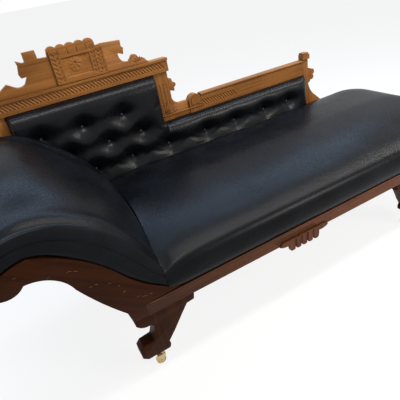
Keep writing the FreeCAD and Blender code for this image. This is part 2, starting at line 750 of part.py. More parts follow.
def seat_cushion():
    """Sprung seat: level curves of the edge roll and the crown, hollow below for the springs."""
    low = rail_height + soft_gap
    ridge = seat_ridge
    rise = seat_crown - seat_ridge
    levels = (
        (low, 4.0, 0.0, 4.0, 0.0),
        (low + 0.16 * (ridge - low), -4.0, 0.0, -4.0, 0.0),
        (low + 0.45 * (ridge - low), -leather_proud, 0.0, -leather_proud, 0.0),
        (low + 0.72 * (ridge - low), -1.0, 0.0, -4.0, 0.0),
        (low + 0.88 * (ridge - low), 11.0, 0.5, 0.0, 0.0),
        (ridge, 34.0, 1.0, 4.0, 0.0),
        (ridge + 0.30 * rise, 78.0, 3.0, 10.0, 4.0),
        (ridge + 0.62 * rise, 140.0, 7.0, 20.0, 10.0),
        (ridge + 0.88 * rise, 217.0, 16.0, 36.0, 20.0),
        (seat_crown, 290.0, 50.0, 66.0, 60.0),
    )
    wires = [seat_plan(*level) for level in levels]
    cushion = Part.makeLoft(wires, True, True)
    cushion = cushion.common(crease_side(True))
    cushion = cushion.cut(pad_space()).cut(below_sweep(-2 * leather_proud, seat_depth))
    hollow = box(notch_x + 40, straight_end - 10, 2 * rail_thickness, seat_depth - 2 * rail_thickness,
                 rail_height - 5, strap_thickness + spring_height + 2)
    return cushion.cut(hollow)


ridge_offsets = ((-16, 41), (44, 42), (59, 60), (48, 69), (3, 57), (-28, 48), (-18, 8))
crown_offsets = ((4, 129), (53, 143), (72, 134), (56, 141), (30, 151), (-11, 130), (-19, 12))


def head_profile(y, low, high, crown):
    """Closed outline of the head cushion at one depth.  Low and high are shares of the ridge
    offsets, and crown mixes in the fuller middle."""
    under = []
    over = []
    for (x, z), (rx, rz), (cx, cz) in zip(sweep_upper, ridge_offsets, crown_offsets):
        under.append((x + low * rx, z + soft_gap + low * rz))
        over.append((x + high * rx + crown * (cx - rx), z + high * rz + crown * (cz - rz)))
    edges = []
    for chain in (under, list(reversed(over))):
        points = [V(x, y, z) for x, z in chain]
        for i in range(0, len(points) - 1, 2):
            edges.append(Part.Arc(points[i], points[i + 1], points[i + 2]).toShape())
        if chain is under:
            edges.append(Part.makeLine(points[-1], V(over[-1][0], y, over[-1][1])))
    edges.append(Part.makeLine(V(over[0][0], y, over[0][1]), V(under[0][0], y, under[0][1])))
    return Part.Wire(edges)


def head_cushion():
    """Head cushion: outlines along the depth, drawn in at the edge rolls and crowned between."""
    rear = seat_depth - soft_gap
    stations = (
        (-leather_proud, 0.30, 0.55, 0.0), (-3.0, 0.10, 0.70, 0.0), (6.0, 0.0, 0.82, 0.0),
        (22.0, 0.0, 0.93, 0.0), (47.0, 0.0, 1.0, 0.0), (0.205 * rear, 0.0, 1.0, 0.42),
        (0.376 * rear, 0.0, 1.0, 0.78), (0.581 * rear, 0.0, 1.0, 0.97), (0.770 * rear, 0.0, 1.0, 1.0),
        (0.907 * rear, 0.0, 1.0, 0.9), (rear - 18, 0.0, 1.0, 0.6), (rear, 0.0, 0.9, 0.1),
    )
    cushion = Part.makeLoft([head_profile(*s) for s in stations], True, True)
    cushion = cushion.common(crease_side(False))
    return cushion.cut(pad_space())


def back_pad():
    """Tufted pad of the back: rounded edges, a hollow at each button and pleats between them."""
    x0 = pad_left + soft_gap
    x1 = tall_back_inner - soft_gap
    x2 = post_left - soft_gap
    top = tall_back_top - soft_gap
    step = low_back_bottom - soft_gap
    pad = sawn((x0, pad_bottom), [(x2, pad_bottom), (x2, step), (x1, step), (x1, top), (x0, top)],
               pad_front, pad_rear)
    edges = [e for e in pad.Edges
             if abs(e.CenterOfMass.y - pad_front) < 0.01 and e.CenterOfMass.z > pad_bottom + 1]
    pad = pad.makeFillet(pad_round, edges)
    cuts = []
    for height, places in tuft_rows:
        for x in places:
            cuts.append(Part.makeCone(tuft_radius, 0.3 * button_diameter, tuft_depth,
                                      V(x, pad_front, height), V(0, 1, 0)))
    for (z0, upper), (z1, lower) in zip(tuft_rows, tuft_rows[1:]):
        for xa in upper:
            for xb in lower:
                if abs(xa - xb) < 1.3 * (z0 - z1):
                    cuts.append(pleat(xa, z0, xb, z1))
    for x in tuft_rows[0][1]:
        cuts.append(pleat(x, tuft_rows[0][0], x, tall_back_top - 30))
    for x in tuft_rows[-1][1]:
        cuts.append(pleat(x, tuft_rows[-1][0], x, pad_bottom + 40))
        if x > tall_back_inner:
            cuts.append(pleat(x, tuft_rows[-1][0], x, low_back_bottom - 25))
    return pad.cut(cuts).cut(below_sweep(pad_front - 10.0, back_rear))


def below_sweep(front, rear):
    """Room under the upper edge of the sweeps, which the cushions are scribed to."""
    raised = [(x, z + soft_gap) for x, z in sweep_upper]
    steps = sweep_arcs(raised) + [(raised[-1][0], -100.0), (raised[0][0], -100.0)]
    return sawn(raised[0], steps, front, rear)


def pleat(xa, za, xb, zb):
    """V groove in the face of the pad between two points."""
    along = V(xb - xa, 0, zb - za)
    length = along.Length
    along.normalize()
    side = V(along.z, 0, -along.x) * (pleat_width / 2.0)
    start = V(xa, pad_front - 0.01, za)
    ring = [start - side, start + V(0, pleat_depth, 0), start + side, start - side]
    return Part.Face(Part.makePolygon(ring)).extrude(along * length)


def back_buttons():
    buttons = []
    r = button_diameter / 2.0
    seat = pad_front + tuft_depth
    for height, places in tuft_rows:
        for x in places:
            rim = across(0.3 * button_diameter, seat - 4.0, seat, x, height)
            dome = Part.makeSphere(r, V(x, seat - 4.0 + 0.35 * r, height), V(0, -1, 0), 22, 90, 360)
            buttons.append(rim.fuse(dome).removeSplitter())
    return buttons


def seat_springs():
    """Coil springs, each the hourglass sleeve that its turns lie in."""
    springs = []
    low = strap_thickness
    high = low + spring_height
    r = spring_diameter / 2.0
    waist = spring_waist / 2.0
    wall = spring_wire
    middle = (low + high) / 2.0
    for y in spring_lines():
        for x in spring_columns():
            inner = [V(x + r - wall, y, low), V(x + waist - wall, y, middle), V(x + r - wall, y, high)]
            outer = [V(x + r, y, low), V(x + waist, y, middle), V(x + r, y, high)]
            edges = [Part.Arc(*outer).toShape(), Part.makeLine(outer[2], inner[2]),
                     Part.Arc(*reversed(inner)).toShape(), Part.makeLine(inner[0], outer[0])]
            face = Part.Face(Part.Wire(edges))
            springs.append(face.revolve(V(x, y, 0), V(0, 0, 1), 360))
    return springs


def spring_columns():
    """X of the springs of a row, between the first two stretchers."""
    first = stretcher_places()[0] + stretcher_width + spring_diameter / 2.0 + 20.0
    last = stretcher_places()[1] - spring_diameter / 2.0 - 10.0
    return [first + (last - first) * i / (springs_per_row - 1.0) for i in range(springs_per_row)]


def spring_lines():
    """Y of the rows of springs."""
    return [seat_depth * (row + 1.0) / (spring_rows + 1.0) for row in range(spring_rows)]


def seat_webbing():
    """A strap under each column of springs, tacked to the underside of the rails, and a long strap
    laid over them under each row."""
    straps = []
    for x in spring_columns():
        straps.append(box(x - strap_width / 2.0, x + strap_width / 2.0, tack_edge, seat_depth - tack_edge,
                          -strap_thickness, 0.0))
    x0 = stretcher_places()[0] + stretcher_width + soft_gap
    x1 = stretcher_places()[1] - soft_gap
    for y in spring_lines():
        straps.append(box(x0, x1, y - strap_width / 2.0, y + strap_width / 2.0, 0.0, strap_thickness))
    return straps


def dust_cover():
    """Cloth tacked under the seat frame, cut round the legs and drawn in at the foot."""
    edge = tack_edge
    inner = leg_thickness + 1.0
    leg_edge = 6.0
    foot_leg_end = leg_spacing + leg_head + leg_edge
    half = [(notch_x, inner), (leg_edge, inner), (leg_edge, edge), (leg_spacing - leg_edge, edge),
            (leg_spacing - leg_edge, inner), (foot_leg_end, inner), (foot_leg_end, edge),
            (straight_end, edge), (foot_face - 0.3 * foot_corner, 0.3 * foot_corner),
            (foot_face - edge, foot_corner)]
    ring = [V(x, y, -strap_thickness) for x, y in half]
    ring += [V(x, seat_depth - y, -strap_thickness) for x, y in reversed(half)]
    ring.append(ring[0])
    return Part.Face(Part.makePolygon(ring)).extrude(V(0, 0, -cover_thickness))


# Assembly

def build_seat_frame():
    """Rails, stretchers, corner blocks, legs and what joins them."""
    near = rail_thickness
    far = seat_depth - rail_thickness
    rails = {"front_rail": front_rail(),
             "rear_rail": box(-rail_end, straight_end, far, seat_depth, 0, rail_height)}
    keep("foot_rail", foot_rail())
    keep("cross_stretchers", group([box(x, x + stretcher_width, near, far, 0, rail_height)
                                    for x in stretcher_places()]))
    screws = [block_screw(*corner) for corner in block_corners()]
    keep("corner_blocks", group([corner_block(*corner).cut(screw)
                                 for corner, screw in zip(block_corners(), screws)]))
    keep("block_screws", group(screws))
    dowels = []
    for end in ("head", "foot"):
        for side in ("front", "rear"):
            front = 0.0 if side == "front" else seat_depth - leg_thickness
            y = rail_thickness / 2.0 if side == "front" else seat_depth - rail_thickness / 2.0
            pins = [upright(dowel_diameter / 2.0, -dowel_depth, dowel_depth, x, y) for x in dowel_places(end)]
            dowels += pins
            socket, fork, axle, wheel, sleeve = caster(end, side)
            start, steps = leg_profile(end)
            leg = sawn(start, steps, front, front + leg_thickness)
            leg = leg.cut(pins).cut(upright(sleeve, -leg_height - 1, -leg_height + caster_stem_length + 3,
                                            swivel_place(end), front + leg_thickness / 2.0))
            rails[side + "_rail"] = rails[side + "_rail"].cut(pins)
            place = side + "_" + end
            keep("leg_" + place, leg)
            keep("caster_socket_" + place, socket)
            keep("caster_fork_" + place, fork)
            keep("caster_axle_" + place, axle)
            keep("caster_wheel_" + place, wheel)
    keep("leg_dowels", group(dowels))
    bolts = [back_screw(share * leg_spacing) for share in (0.07, 0.33, 0.84, 1.13)]
    keep("back_frame_screws", group(bolts))
    lower = box(-rail_end, post_right + end_bracket_reach, seat_depth, back_rear, 0, lower_rail_height)
    keep("back_lower_rail", lower.cut(bolts))
    keep("front_rail", rails["front_rail"].cut(screws))
    keep("rear_rail", rails["rear_rail"].cut(screws).cut(bolts))
    keep("front_drop", front_drop())


def back_screw(x):
    """Countersunk screw from the rear of the back frame into the rear rail."""
    z = 0.6 * rail_height
    start = V(x, back_rear, z)
    shank = Part.makeCylinder(2.5, back_thickness + 20.0, start, V(0, -1, 0))
    return shank.fuse(Part.makeCone(5.0, 2.5, 3.0, start, V(0, -1, 0)))


def build_head():
    """Sweeps, slats, nose rail and lining of the head end."""
    rear = seat_depth - sweep_thickness
    keep("head_sweep_front", head_sweep(0.0))
    keep("head_sweep_rear", head_sweep(rear))
    keep("head_slats", group(head_slats()))
    x, z = sweep_upper[-1]
    outer = x + nose_rail_inset
    low = z - 0.6 * nose_rail_side
    high = low + nose_rail_side
    keep("head_nose_rail", box(outer, outer + nose_rail_side, sweep_thickness, rear, low, high))
    keep("head_lining", head_lining())


def build_back():
    """Tall back, crest, step, low back and end post."""
    keep("stile_head", stile_head())
    keep("stile_foot", stile_foot())
    keep("cornice_rail", cornice_rail())
    keep("crest_board", crest_board())
    keep("crest_panel", crest_panel())
    keep("stile_ear", stile_ear())
    keep("cove_bracket", cove_bracket())
    keep("round_boss", round_boss())
    keep("low_back_rail", low_back_rail())
    keep("end_post", box(post_left, post_right, seat_depth, back_rear, lower_rail_height, post_top))
    keep("end_post_cap", end_post_cap())
    keep("end_post_ear", end_post_ear())
    keep("end_post_bracket", end_post_bracket())
    panel_rear = panel_front + panel_thickness
    keep("tall_back_panel", sawn((pad_left, tall_back_top),
                                 [(tall_back_inner, tall_back_top), (tall_back_inner, lower_rail_height),
                                  (-rail_end, lower_rail_height), (pad_left, sweep_rise - 85.0)],
                                 panel_front, panel_rear))
    keep("low_back_panel", box(stile_right, post_left, panel_front, panel_rear,
                               lower_rail_height, low_back_bottom))


def build_upholstery():
    keep("seat_cushion", seat_cushion())
    keep("head_cushion", head_cushion())
    keep("back_pad", back_pad())
    keep("back_buttons", group(back_buttons()))
    keep("seat_springs", group(seat_springs()))
    keep("seat_webbing", group(seat_webbing()))
    keep("dust_cover", dust_cover())


def main():
    build_seat_frame()
    build_head()
    build_back()
    build_upholstery()
    os.makedirs("parts", exist_ok=True)
    for name, shape in nodes.items():
        shape.exportStep("parts/" + name + ".step")
    print("nodes", len(nodes), "box", group(list(nodes.values())).BoundBox)
    for name, shape in nodes.items():
        if not shape.isValid():
            print("not valid:", name)


if __name__ == "__main__":
    main()
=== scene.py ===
"""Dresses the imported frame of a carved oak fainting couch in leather, oak, brass and cloth, and sets
the studio round it.

Shapes are worked out in the couch's own measures, in millimetres: X runs from the inner ledge of the
head legs towards the foot, Y from the front face of the seat rails towards the back, and Z up from the
underside of the rails.  placed() turns them into metres in the frame's own place."""

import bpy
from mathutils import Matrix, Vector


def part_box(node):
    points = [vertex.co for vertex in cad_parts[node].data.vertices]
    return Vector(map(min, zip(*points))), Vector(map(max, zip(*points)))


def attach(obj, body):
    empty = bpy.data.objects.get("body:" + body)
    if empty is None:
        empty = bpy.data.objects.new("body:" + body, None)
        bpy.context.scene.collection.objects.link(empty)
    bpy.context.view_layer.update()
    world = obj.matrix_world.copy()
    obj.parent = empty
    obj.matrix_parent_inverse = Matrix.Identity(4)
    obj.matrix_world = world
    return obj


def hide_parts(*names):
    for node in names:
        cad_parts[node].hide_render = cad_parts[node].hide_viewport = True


bl_info = {
    "name": "Fainting Couch",
    "version": (1, 0, 0),
    "blender": (4, 5, 0),
    "location": "View3D > Sidebar > Couch",
    "description": "Leather, carved oak and brass for a fainting couch on casters",
    "category": "Object",
}

import math

import bmesh
import bpy
import numpy as np
from bpy.props import FloatProperty, FloatVectorProperty, PointerProperty
from mathutils import Matrix

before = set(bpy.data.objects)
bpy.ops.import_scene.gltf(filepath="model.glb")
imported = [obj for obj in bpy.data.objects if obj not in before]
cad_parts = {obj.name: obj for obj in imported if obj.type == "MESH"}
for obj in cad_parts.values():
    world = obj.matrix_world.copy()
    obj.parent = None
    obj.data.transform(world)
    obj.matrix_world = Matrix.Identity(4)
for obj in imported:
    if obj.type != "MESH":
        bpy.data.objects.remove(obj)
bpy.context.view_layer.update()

MM = 0.001
LEG_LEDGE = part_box("leg_front_head")[1][0]
ORIGIN = np.array([LEG_LEDGE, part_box("front_rail")[0][1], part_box("front_rail")[0][2]])


def placed(points):
    """Couch measures in millimetres to metres in the frame."""
    return np.asarray(points, float) * MM + ORIGIN


def span(node):
    """Lowest and highest corner of a CAD node, in couch measures."""
    low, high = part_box(node)
    return (np.array(low) - ORIGIN) / MM, (np.array(high) - ORIGIN) / MM


# Places read from the frame

RAIL_TOP = span("front_rail")[1][2]
SEAT_DEPTH = span("rear_rail")[1][1]
SWEEP_RUN = -span("head_sweep_front")[0][0]
SWEEP_RISE = span("head_sweep_front")[1][2]
FOOT_FACE = span("foot_rail")[1][0]
PAD_LOW, PAD_HIGH = span("back_pad")
TALL_INNER = span("stile_foot")[0][0]
STILE_RIGHT = span("stile_foot")[1][0]
LOW_BACK_BOTTOM = span("low_back_rail")[0][2]
POST_LEFT = span("end_post")[0][0]
SEAM_GAP = 0.3


# Colours and sizes that a user would change

def linear(code):
    """Linear colour of an sRGB hex code."""
    channels = [int(code[i:i + 2], 16) / 255.0 for i in (1, 3, 5)]
    return tuple(c / 12.92 if c <= 0.04045 else ((c + 0.055) / 1.055) ** 2.4 for c in channels)


def colour(name, code, description):
    return FloatVectorProperty(name=name, description=description, default=linear(code),
                               subtype="COLOR", size=3, min=0.0, max=1.0)


def length(name, millimetres, description):
    return FloatProperty(name=name, description=description, default=millimetres * MM,
                         unit="LENGTH", subtype="DISTANCE", min=0.0)


class CouchColours(bpy.types.PropertyGroup):
    """Colours of the finishes."""
    leather: colour("Leather", "#08090b", "Dyed top-grain leather of seat, head and back")
    leather_light: colour("Leather, rubbed", "#101216", "Leather where it is stretched or rubbed")
    golden_oak: colour("Golden oak", "#96612c", "Oak of the carved back")
    golden_oak_dark: colour("Golden oak, grain", "#6d431c", "Late wood of the back's oak")
    # Painted shade: the rails are the same oak as the back, made darker for the shade they stand in.
    rail_oak: colour("Rail oak", "#663716", "Oak of the seat rails")
    rail_oak_dark: colour("Rail oak, grain", "#47240d", "Late wood of the rails")
    # Painted shade: the sweeps and legs are the same oak as the back, made darker for the shade they stand
    # in.
    dark_oak: colour("Dark oak", "#3d1d09", "Stained oak of the sweeps and legs")
    dark_oak_dark: colour("Dark oak, grain", "#281205", "Late wood of the stained oak")
    plain_oak: colour("Plain oak", "#83623c", "Unfinished oak inside the frame")
    brass: colour("Aged brass", "#39322a", "Tarnished brass of the casters")
    steel: colour("Spring steel", "#5d5e61", "Coil springs and screws")
    jute: colour("Jute", "#a48b5f", "Webbing straps")
    cambric: colour("Cambric", "#1a1a1b", "Black dust cloth")
    floor: colour("Floor", "#f6f6f5", "Studio floor")


class CouchSizes(bpy.types.PropertyGroup):
    """Sizes of the soft and carved detail."""
    button: length("Button", 20.0, "Diameter of a leather button")
    tuft_depth: length("Tuft depth", 25.0, "How far a button is drawn into the pad")
    trough_depth: length("Trough depth", 5.0, "Depth of the trough along a row of buttons")
    pleat_depth: length("Pleat depth", 2.2, "Depth of the faint pleats between buttons")
    pleat_width: length("Pleat width", 7.0, "How far a pleat's slope reaches to each side")
    pad_roll: length("Pad roll", 46.0, "Height of the rolled upper edge of the back pad")
    pad_end: length("Pad end", 66.0, "Length over which the pad thins out at the end post")
    stuffing: length("Stuffing", 5.0, "How far the stuffing may swell the pad past its drawn shape")
    crease_round: length("Crease rounding", 7.0, "Rounding of the leather where seat and head meet")
    board_ease: length("Eased edge", 1.6, "Rounding of the sawn boards' edges")
    carving_ease: length("Carved edge", 0.5, "Rounding of carved and reeded edges")
    leather_grain: length("Leather grain", 3.0, "Distance of the leather's pebbles, drawn coarse to show")
    oak_pore: length("Oak pore", 0.9, "Width of an open pore in the oak")


# Meshes from arrays

WELD = 0.00002              # points nearer than this, in metres, become one
SHRUNK = 0.05               # a ring narrower than this, in millimetres, needs no face to close it
SMOOTH_ANGLE = 40.0         # edges that turn by more degrees than this stay sharp


def mesh_piece(name, points, faces, finish):
    """Object whose mesh has these points, in couch measures, and these faces."""
    mesh = bpy.data.meshes.new(name)
    mesh.from_pydata(placed(points).tolist(), [], [tuple(int(i) for i in face) for face in faces])
    return finished(name, mesh, finish)


def finished(name, mesh, finish, smooth_angle=SMOOTH_ANGLE):
    """Object at the origin with its faces turned outwards, smooth but for edges past an angle."""
    work = bmesh.new()
    work.from_mesh(mesh)
    bmesh.ops.remove_doubles(work, verts=work.verts, dist=WELD)
    bmesh.ops.recalc_face_normals(work, faces=work.faces)
    work.to_mesh(mesh)
    work.free()
    mesh.shade_smooth()
    mesh.set_sharp_from_angle(angle=math.radians(smooth_angle))
    piece = bpy.data.objects.new(name, mesh)
    bpy.context.scene.collection.objects.link(piece)
    mesh.materials.clear()
    mesh.materials.append(finish)
    return piece


def grid_faces(rows, columns, closed):
    """Quads of a grid of points, row by row.  A closed grid joins its last column to its first."""
    i = np.arange(rows - 1)[:, None]
    j = np.arange(columns if closed else columns - 1)[None, :]
    k = (j + 1) % columns
    quads = np.stack([i * columns + j, i * columns + k, (i + 1) * columns + k, (i + 1) * columns + j], -1)
    return quads.reshape(-1, 4)


def closed_rings(name, rings, finish):
    """Surface through closed rings of points.  The first and last ring are closed by one face each
    unless they have shrunk to a point or a line."""
    count, around = rings.shape[:2]
    faces = [list(face) for face in grid_faces(count, around, True)]
    for ring, index in ((rings[0], 0), (rings[-1], count - 1)):
        if np.sort(ring.max(0) - ring.min(0))[1] > SHRUNK:
            faces.append([index * around + j for j in range(around)])
    return mesh_piece(name, rings.reshape(-1, 3), faces, finish)


# Curves and surfaces

def smooth_curve(rows, count):
    """Natural cubic spline through rows of numbers, sampled evenly along the chords between them.
    On each stretch the value is a cubic whose second slopes solve the tridiagonal system."""
    rows = np.asarray(rows, float)
    t = np.concatenate(([0.0], np.cumsum(np.linalg.norm(np.diff(rows, axis=0), axis=1))))
    h = np.diff(t)
    n = len(t)
    system = np.eye(n)
    right = np.zeros_like(rows)
    inner = np.arange(1, n - 1)
    system[inner, inner - 1] = h[:-1]
    system[inner, inner] = 2 * (h[:-1] + h[1:])
    system[inner, inner + 1] = h[1:]
    slopes = np.diff(rows, axis=0) / h[:, None]
    right[1:-1] = 6 * (slopes[1:] - slopes[:-1])
    second = np.linalg.solve(system, right)
    s = np.linspace(0.0, t[-1], count)
    k = np.clip(np.searchsorted(t, s, side="right") - 1, 0, n - 2)
    a = ((t[k + 1] - s) / h[k])[:, None]
    b = 1.0 - a
    bend = ((a ** 3 - a) * second[k] + (b ** 3 - b) * second[k + 1]) * (h[k][:, None] ** 2) / 6
    return a * rows[k] + b * rows[k + 1] + bend


def soft_least(a, b, round_off):
    """Smaller of two values with the corner between them rounded: half their sum less half the root
    of their difference squared plus the rounding squared."""
    return 0.5 * (a + b - np.sqrt((a - b) ** 2 + round_off ** 2))


def soft_most(a, b, round_off):
    """Larger of two values with the corner rounded in the same way."""
    return -soft_least(-a, -b, round_off)


def ease(value, start, end):
    """0 before start, 1 after end, and the cubic 3t2 - 2t3 between."""
    t = np.clip((value - start) / (end - start), 0.0, 1.0)
    return t * t * (3 - 2 * t)


def sweep_points(shares):
    """Points of the sweep's edge from shares of its run and rise."""
    shares = np.asarray(shares, float)
    return np.stack([-shares[:, 0] * SWEEP_RUN, RAIL_TOP + shares[:, 1] * (SWEEP_RISE - RAIL_TOP)], -1)


# Upper edge of the sweep, and how far the head's front ridge and its crown lie from each of its
# points, in x and z
SWEEP_UPPER = sweep_points(((0.069, 0.021), (0.244, 0.210), (0.386, 0.486), (0.549, 0.790),
                            (0.762, 1.000), (0.894, 0.941), (1.000, 0.817)))
RIDGE_OFFSETS = ((-16, 41), (44, 42), (59, 60), (48, 69), (3, 57), (-28, 48), (-18, 8))
CROWN_OFFSETS = ((4, 129), (53, 143), (72, 134), (56, 141), (30, 151), (-11, 130), (-19, 12))
# Notch where the seat's front roll meets the head, and the lean of the crease above it
NOTCH_X = -72.0
NOTCH_HEIGHT = 119.0
CREASE_LEAN = 24.0
CREASE_LEAN_RISE = 78.0


def crease_x(z):
    """Crease between seat and head: upright up to the notch, then leaning to the foot."""
    return NOTCH_X + CREASE_LEAN * np.clip((z - NOTCH_HEIGHT) / CREASE_LEAN_RISE, 0.0, 1.0)


def sweep_top(x):
    """Height of the sweep's upper edge at x."""
    curve = smooth_curve(SWEEP_UPPER, 120)
    return np.interp(-x, -curve[:, 0], curve[:, 1])


# Plan of the seat
UNDER_HEAD = 30.0           # how far it starts on the head side of the notch
LEAST_CORNER = 40.0         # smallest radius of the corners at the foot
NEAR_HALF = 0.499           # their largest, as a share of the depth


def seat_outline(z, front, rear, foot, head):
    """Closed plan outline at each level, as rings: front straight, quarter arc, foot straight, quarter
    arc, rear straight and head side.  Arrays hold one value per level."""
    x0 = (NOTCH_X - UNDER_HEAD + head)[:, None]
    x1 = (FOOT_FACE - foot)[:, None]
    y0 = front[:, None]
    y1 = (SEAT_DEPTH - SEAM_GAP - rear)[:, None]
    corner = FOOT_FACE - span("front_rail")[1][0]
    r0, r1 = [np.minimum(np.maximum(corner - (side + foot)[:, None] / 2, LEAST_CORNER),
                         NEAR_HALF * (y1 - y0)) for side in (front, rear)]
    s, q, w, e = [np.linspace(0, end, count, endpoint=False)[None, :]
                  for end, count in ((1, 90), (math.pi / 2, 26), (1, 40), (1, 26))]
    x = np.concatenate([x0 + s * (x1 - r0 - x0), x1 - r0 + r0 * np.sin(q), x1 + 0 * w,
                        x1 - r1 + r1 * np.cos(q), x1 - r1 + s * (x0 - x1 + r1), x0 + 0 * e], 1)
    y = np.concatenate([y0 + 0 * s, y0 + r0 - r0 * np.cos(q), y0 + r0 + w * (y1 - r1 - y0 - r0),
                        y1 - r1 + r1 * np.sin(q), y1 + 0 * s, y1 + e * (y0 - y1)], 1)
    return np.stack([x, y, z[:, None] + 0 * x], -1)


# Level curves of the seat: height, and how far the outline is drawn in at front, rear, foot and head.
# The first ones close it inside, round the springs.
INSIDE_LEVELS = 5
SEAT_LEVELS = (
    (122.0, 250.0, 250.0, 420.0, 260.0), (121.0, 80.0, 80.0, 90.0, 110.0),
    (112.0, 62.0, 62.0, 70.0, 100.0), (60.0, 58.0, 58.0, 66.0, 96.0), (46.0, 52.0, 52.0, 60.0, 90.0),
    (45.3, 4.0, 0.0, 4.0, 0.0), (61.3, -4.0, 0.0, -4.0, 0.0), (90.2, -7.0, 0.0, -7.0, 0.0),
    (117.1, -1.0, 0.0, -4.0, 0.0), (131.0, 7.0, 0.5, 0.0, 0.0), (145.0, 28.0, 1.0, 4.0, 0.0),
    (158.0, 56.0, 2.0, 8.0, 2.0), (172.0, 98.0, 4.0, 13.0, 6.0), (186.5, 150.0, 7.0, 20.0, 10.0),
    (200.0, 215.0, 13.0, 31.0, 18.0), (210.0, 290.0, 36.0, 60.0, 50.0),
    (214.0, 345.0, 110.0, 150.0, 140.0),
)
# The front roll dips to the notch: how deep, how far along, and between which depths the dip fades
NOTCH_DIP = 26.0
DIP_REACH = 42.0
DIP_LOSS = 0.75
DIP_FADES = (60.0, 330.0)
DIP_BOTTOM = 60.0           # the dip grows from nothing at this height
DIP_RISE = 85.0             # to all of it this much higher
# Unevenness of the stuffing: its height, its wave lengths over two pi, and where on the roll it starts
SWELL = 1.4
SWELL_ALONG, SWELL_ACROSS, SWELL_DRIFT = 61.0, 83.0, 97.0
SWELL_STARTS = (150.0, 190.0)
SEAT_CREASE = 0.15          # share of the crease rounding that the seat's side takes
# The seat stays in front of the back pad up to the end post, and above these heights
PAD_CLEAR = 1.0
PAD_CLEAR_HEIGHTS = (132.0, 148.0)
PAD_CLEAR_ENDS = (-6.0, 34.0)
PAD_CLEAR_ROUND = 3.0


def leather_seat(context):
    """Sprung seat under taut leather.  Level curves give the wall, which swells past the rail, the
    stuffed front roll and the crown.  Near the crease the roll dips to the notch, and X is held on
    the foot side of the crease by the rounded larger value."""
    sizes = context.scene.couch_sizes
    inside = np.array(SEAT_LEVELS[:INSIDE_LEVELS])
    levels = np.concatenate([inside, smooth_curve(SEAT_LEVELS[INSIDE_LEVELS:], 70)])
    rings = seat_outline(*levels.T)
    x, y, z = rings[..., 0], rings[..., 1], rings[..., 2]
    outer = (np.arange(len(levels)) >= INSIDE_LEVELS)[:, None]
    away = np.maximum(x - crease_x(z), 0.0)
    dip = NOTCH_DIP * np.exp(-away / DIP_REACH) * (1 - DIP_LOSS * ease(y, *DIP_FADES))
    z = z - outer * dip * np.clip((z - DIP_BOTTOM) / DIP_RISE, 0.0, 1.0)
    swell = SWELL * np.sin(x / SWELL_ALONG + 0.7 * np.sin(y / SWELL_DRIFT)) * np.sin(y / SWELL_ACROSS + 1.3)
    z = z + outer * swell * ease(z, *SWELL_STARTS)
    x = soft_most(x, crease_x(z) + SEAM_GAP, SEAT_CREASE * sizes.crease_round / MM)
    beside_pad = 1 - ease(x, POST_LEFT + PAD_CLEAR_ENDS[0], POST_LEFT + PAD_CLEAR_ENDS[1])
    free = 1 - beside_pad * ease(z, *PAD_CLEAR_HEIGHTS)
    y = soft_least(y, PAD_LOW[1] - PAD_CLEAR + free * (SEAT_DEPTH - PAD_LOW[1]), PAD_CLEAR_ROUND)
    z = np.where(x < SWEEP_UPPER[0, 0], np.maximum(z, sweep_top(x) + SEAM_GAP), z)
    piece = closed_rings("seat_leather", np.stack([x, y, z], -1), material("dyed_leather"))
    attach(piece, "root")
    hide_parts("seat_cushion")


# Section of the head cushion: depth, share of the ridge offset, share of the crown.  A smooth curve
# runs through the rows that are seen from outside.
HEAD_OUTSIDE = slice(3, 22)
HEAD_SECTION = (
    (292.0, 0.0, 0.0), (60.0, 0.0, 0.0), (24.0, 0.0, 0.0), (4.0, 0.01, 0.0), (-3.5, 0.10, 0.0),
    (-6.4, 0.28, 0.0), (-6.0, 0.46, 0.0), (-2.2, 0.63, 0.0), (7.0, 0.78, 0.01), (23.0, 0.90, 0.04),
    (46.0, 0.97, 0.10), (80.0, 1.0, 0.21), (125.0, 1.0, 0.40), (220.0, 1.0, 0.75), (340.0, 1.0, 0.97),
    (450.0, 1.0, 1.0), (515.0, 1.0, 0.92), (552.0, 1.0, 0.72), (574.0, 0.98, 0.42), (583.0, 0.88, 0.08),
    (584.2, 0.55, 0.0), (583.0, 0.15, 0.0), (574.0, 0.0, 0.0), (520.0, 0.0, 0.0),
)
CREASE_OPENS = (118.0, 165.0)   # between these heights the head's crease goes from tight to rounded
TIGHT_SHARE = 0.05              # share of the rounding where it is tight


def leather_head(context):
    """Head cushion over the sweeps.  One parameter runs along the sweep's upper edge, the other round
    the section: each point is the edge plus a share of the front ridge's offset plus a share of what
    the crown adds.  The offsets shrink at the nose, and X is held at the crease."""
    sizes = context.scene.couch_sizes
    along = smooth_curve(np.concatenate([SWEEP_UPPER, RIDGE_OFFSETS, CROWN_OFFSETS], 1), 150)
    outside = smooth_curve(HEAD_SECTION[HEAD_OUTSIDE], 120)
    section = np.concatenate([HEAD_SECTION[:HEAD_OUTSIDE.start], outside, HEAD_SECTION[HEAD_OUTSIDE.stop:]])
    edge, ridge, crown = along[:, None, 0:2], along[:, None, 2:4], along[:, None, 4:6]
    depth, low, high = section[None, :, 0], section[None, :, 1, None], section[None, :, 2, None]
    flat = edge + low * ridge + high * (crown - ridge)
    x, z = flat[..., 0], flat[..., 1]
    y = depth + 0 * x
    round_off = sizes.crease_round / MM * (TIGHT_SHARE + (1 - TIGHT_SHARE) * ease(z, *CREASE_OPENS))
    x = soft_least(x, crease_x(z) - SEAM_GAP, round_off)
    z = np.maximum(z, sweep_top(x) + SEAM_GAP)
    piece = closed_rings("head_leather", np.stack([x, y, z], -1), material("dyed_leather"))
    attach(piece, "root")
    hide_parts("head_cushion")


# Buttons of the back, row by row: height and places
TUFT_ROWS = (
    (424.0, (-218.0, -72.0, 81.0)),
    (340.0, (-143.0, 7.0, 138.0)),
    (254.0, (-70.0, 80.0, 240.0, 412.0, 560.0, 722.0, 855.0)),
)
BUTTONS = np.array([(x, height) for height, places in TUFT_ROWS for x in places])
PLEAT_SLANT = 1.3           # a pleat joins two buttons if it runs along by less than this times its rise
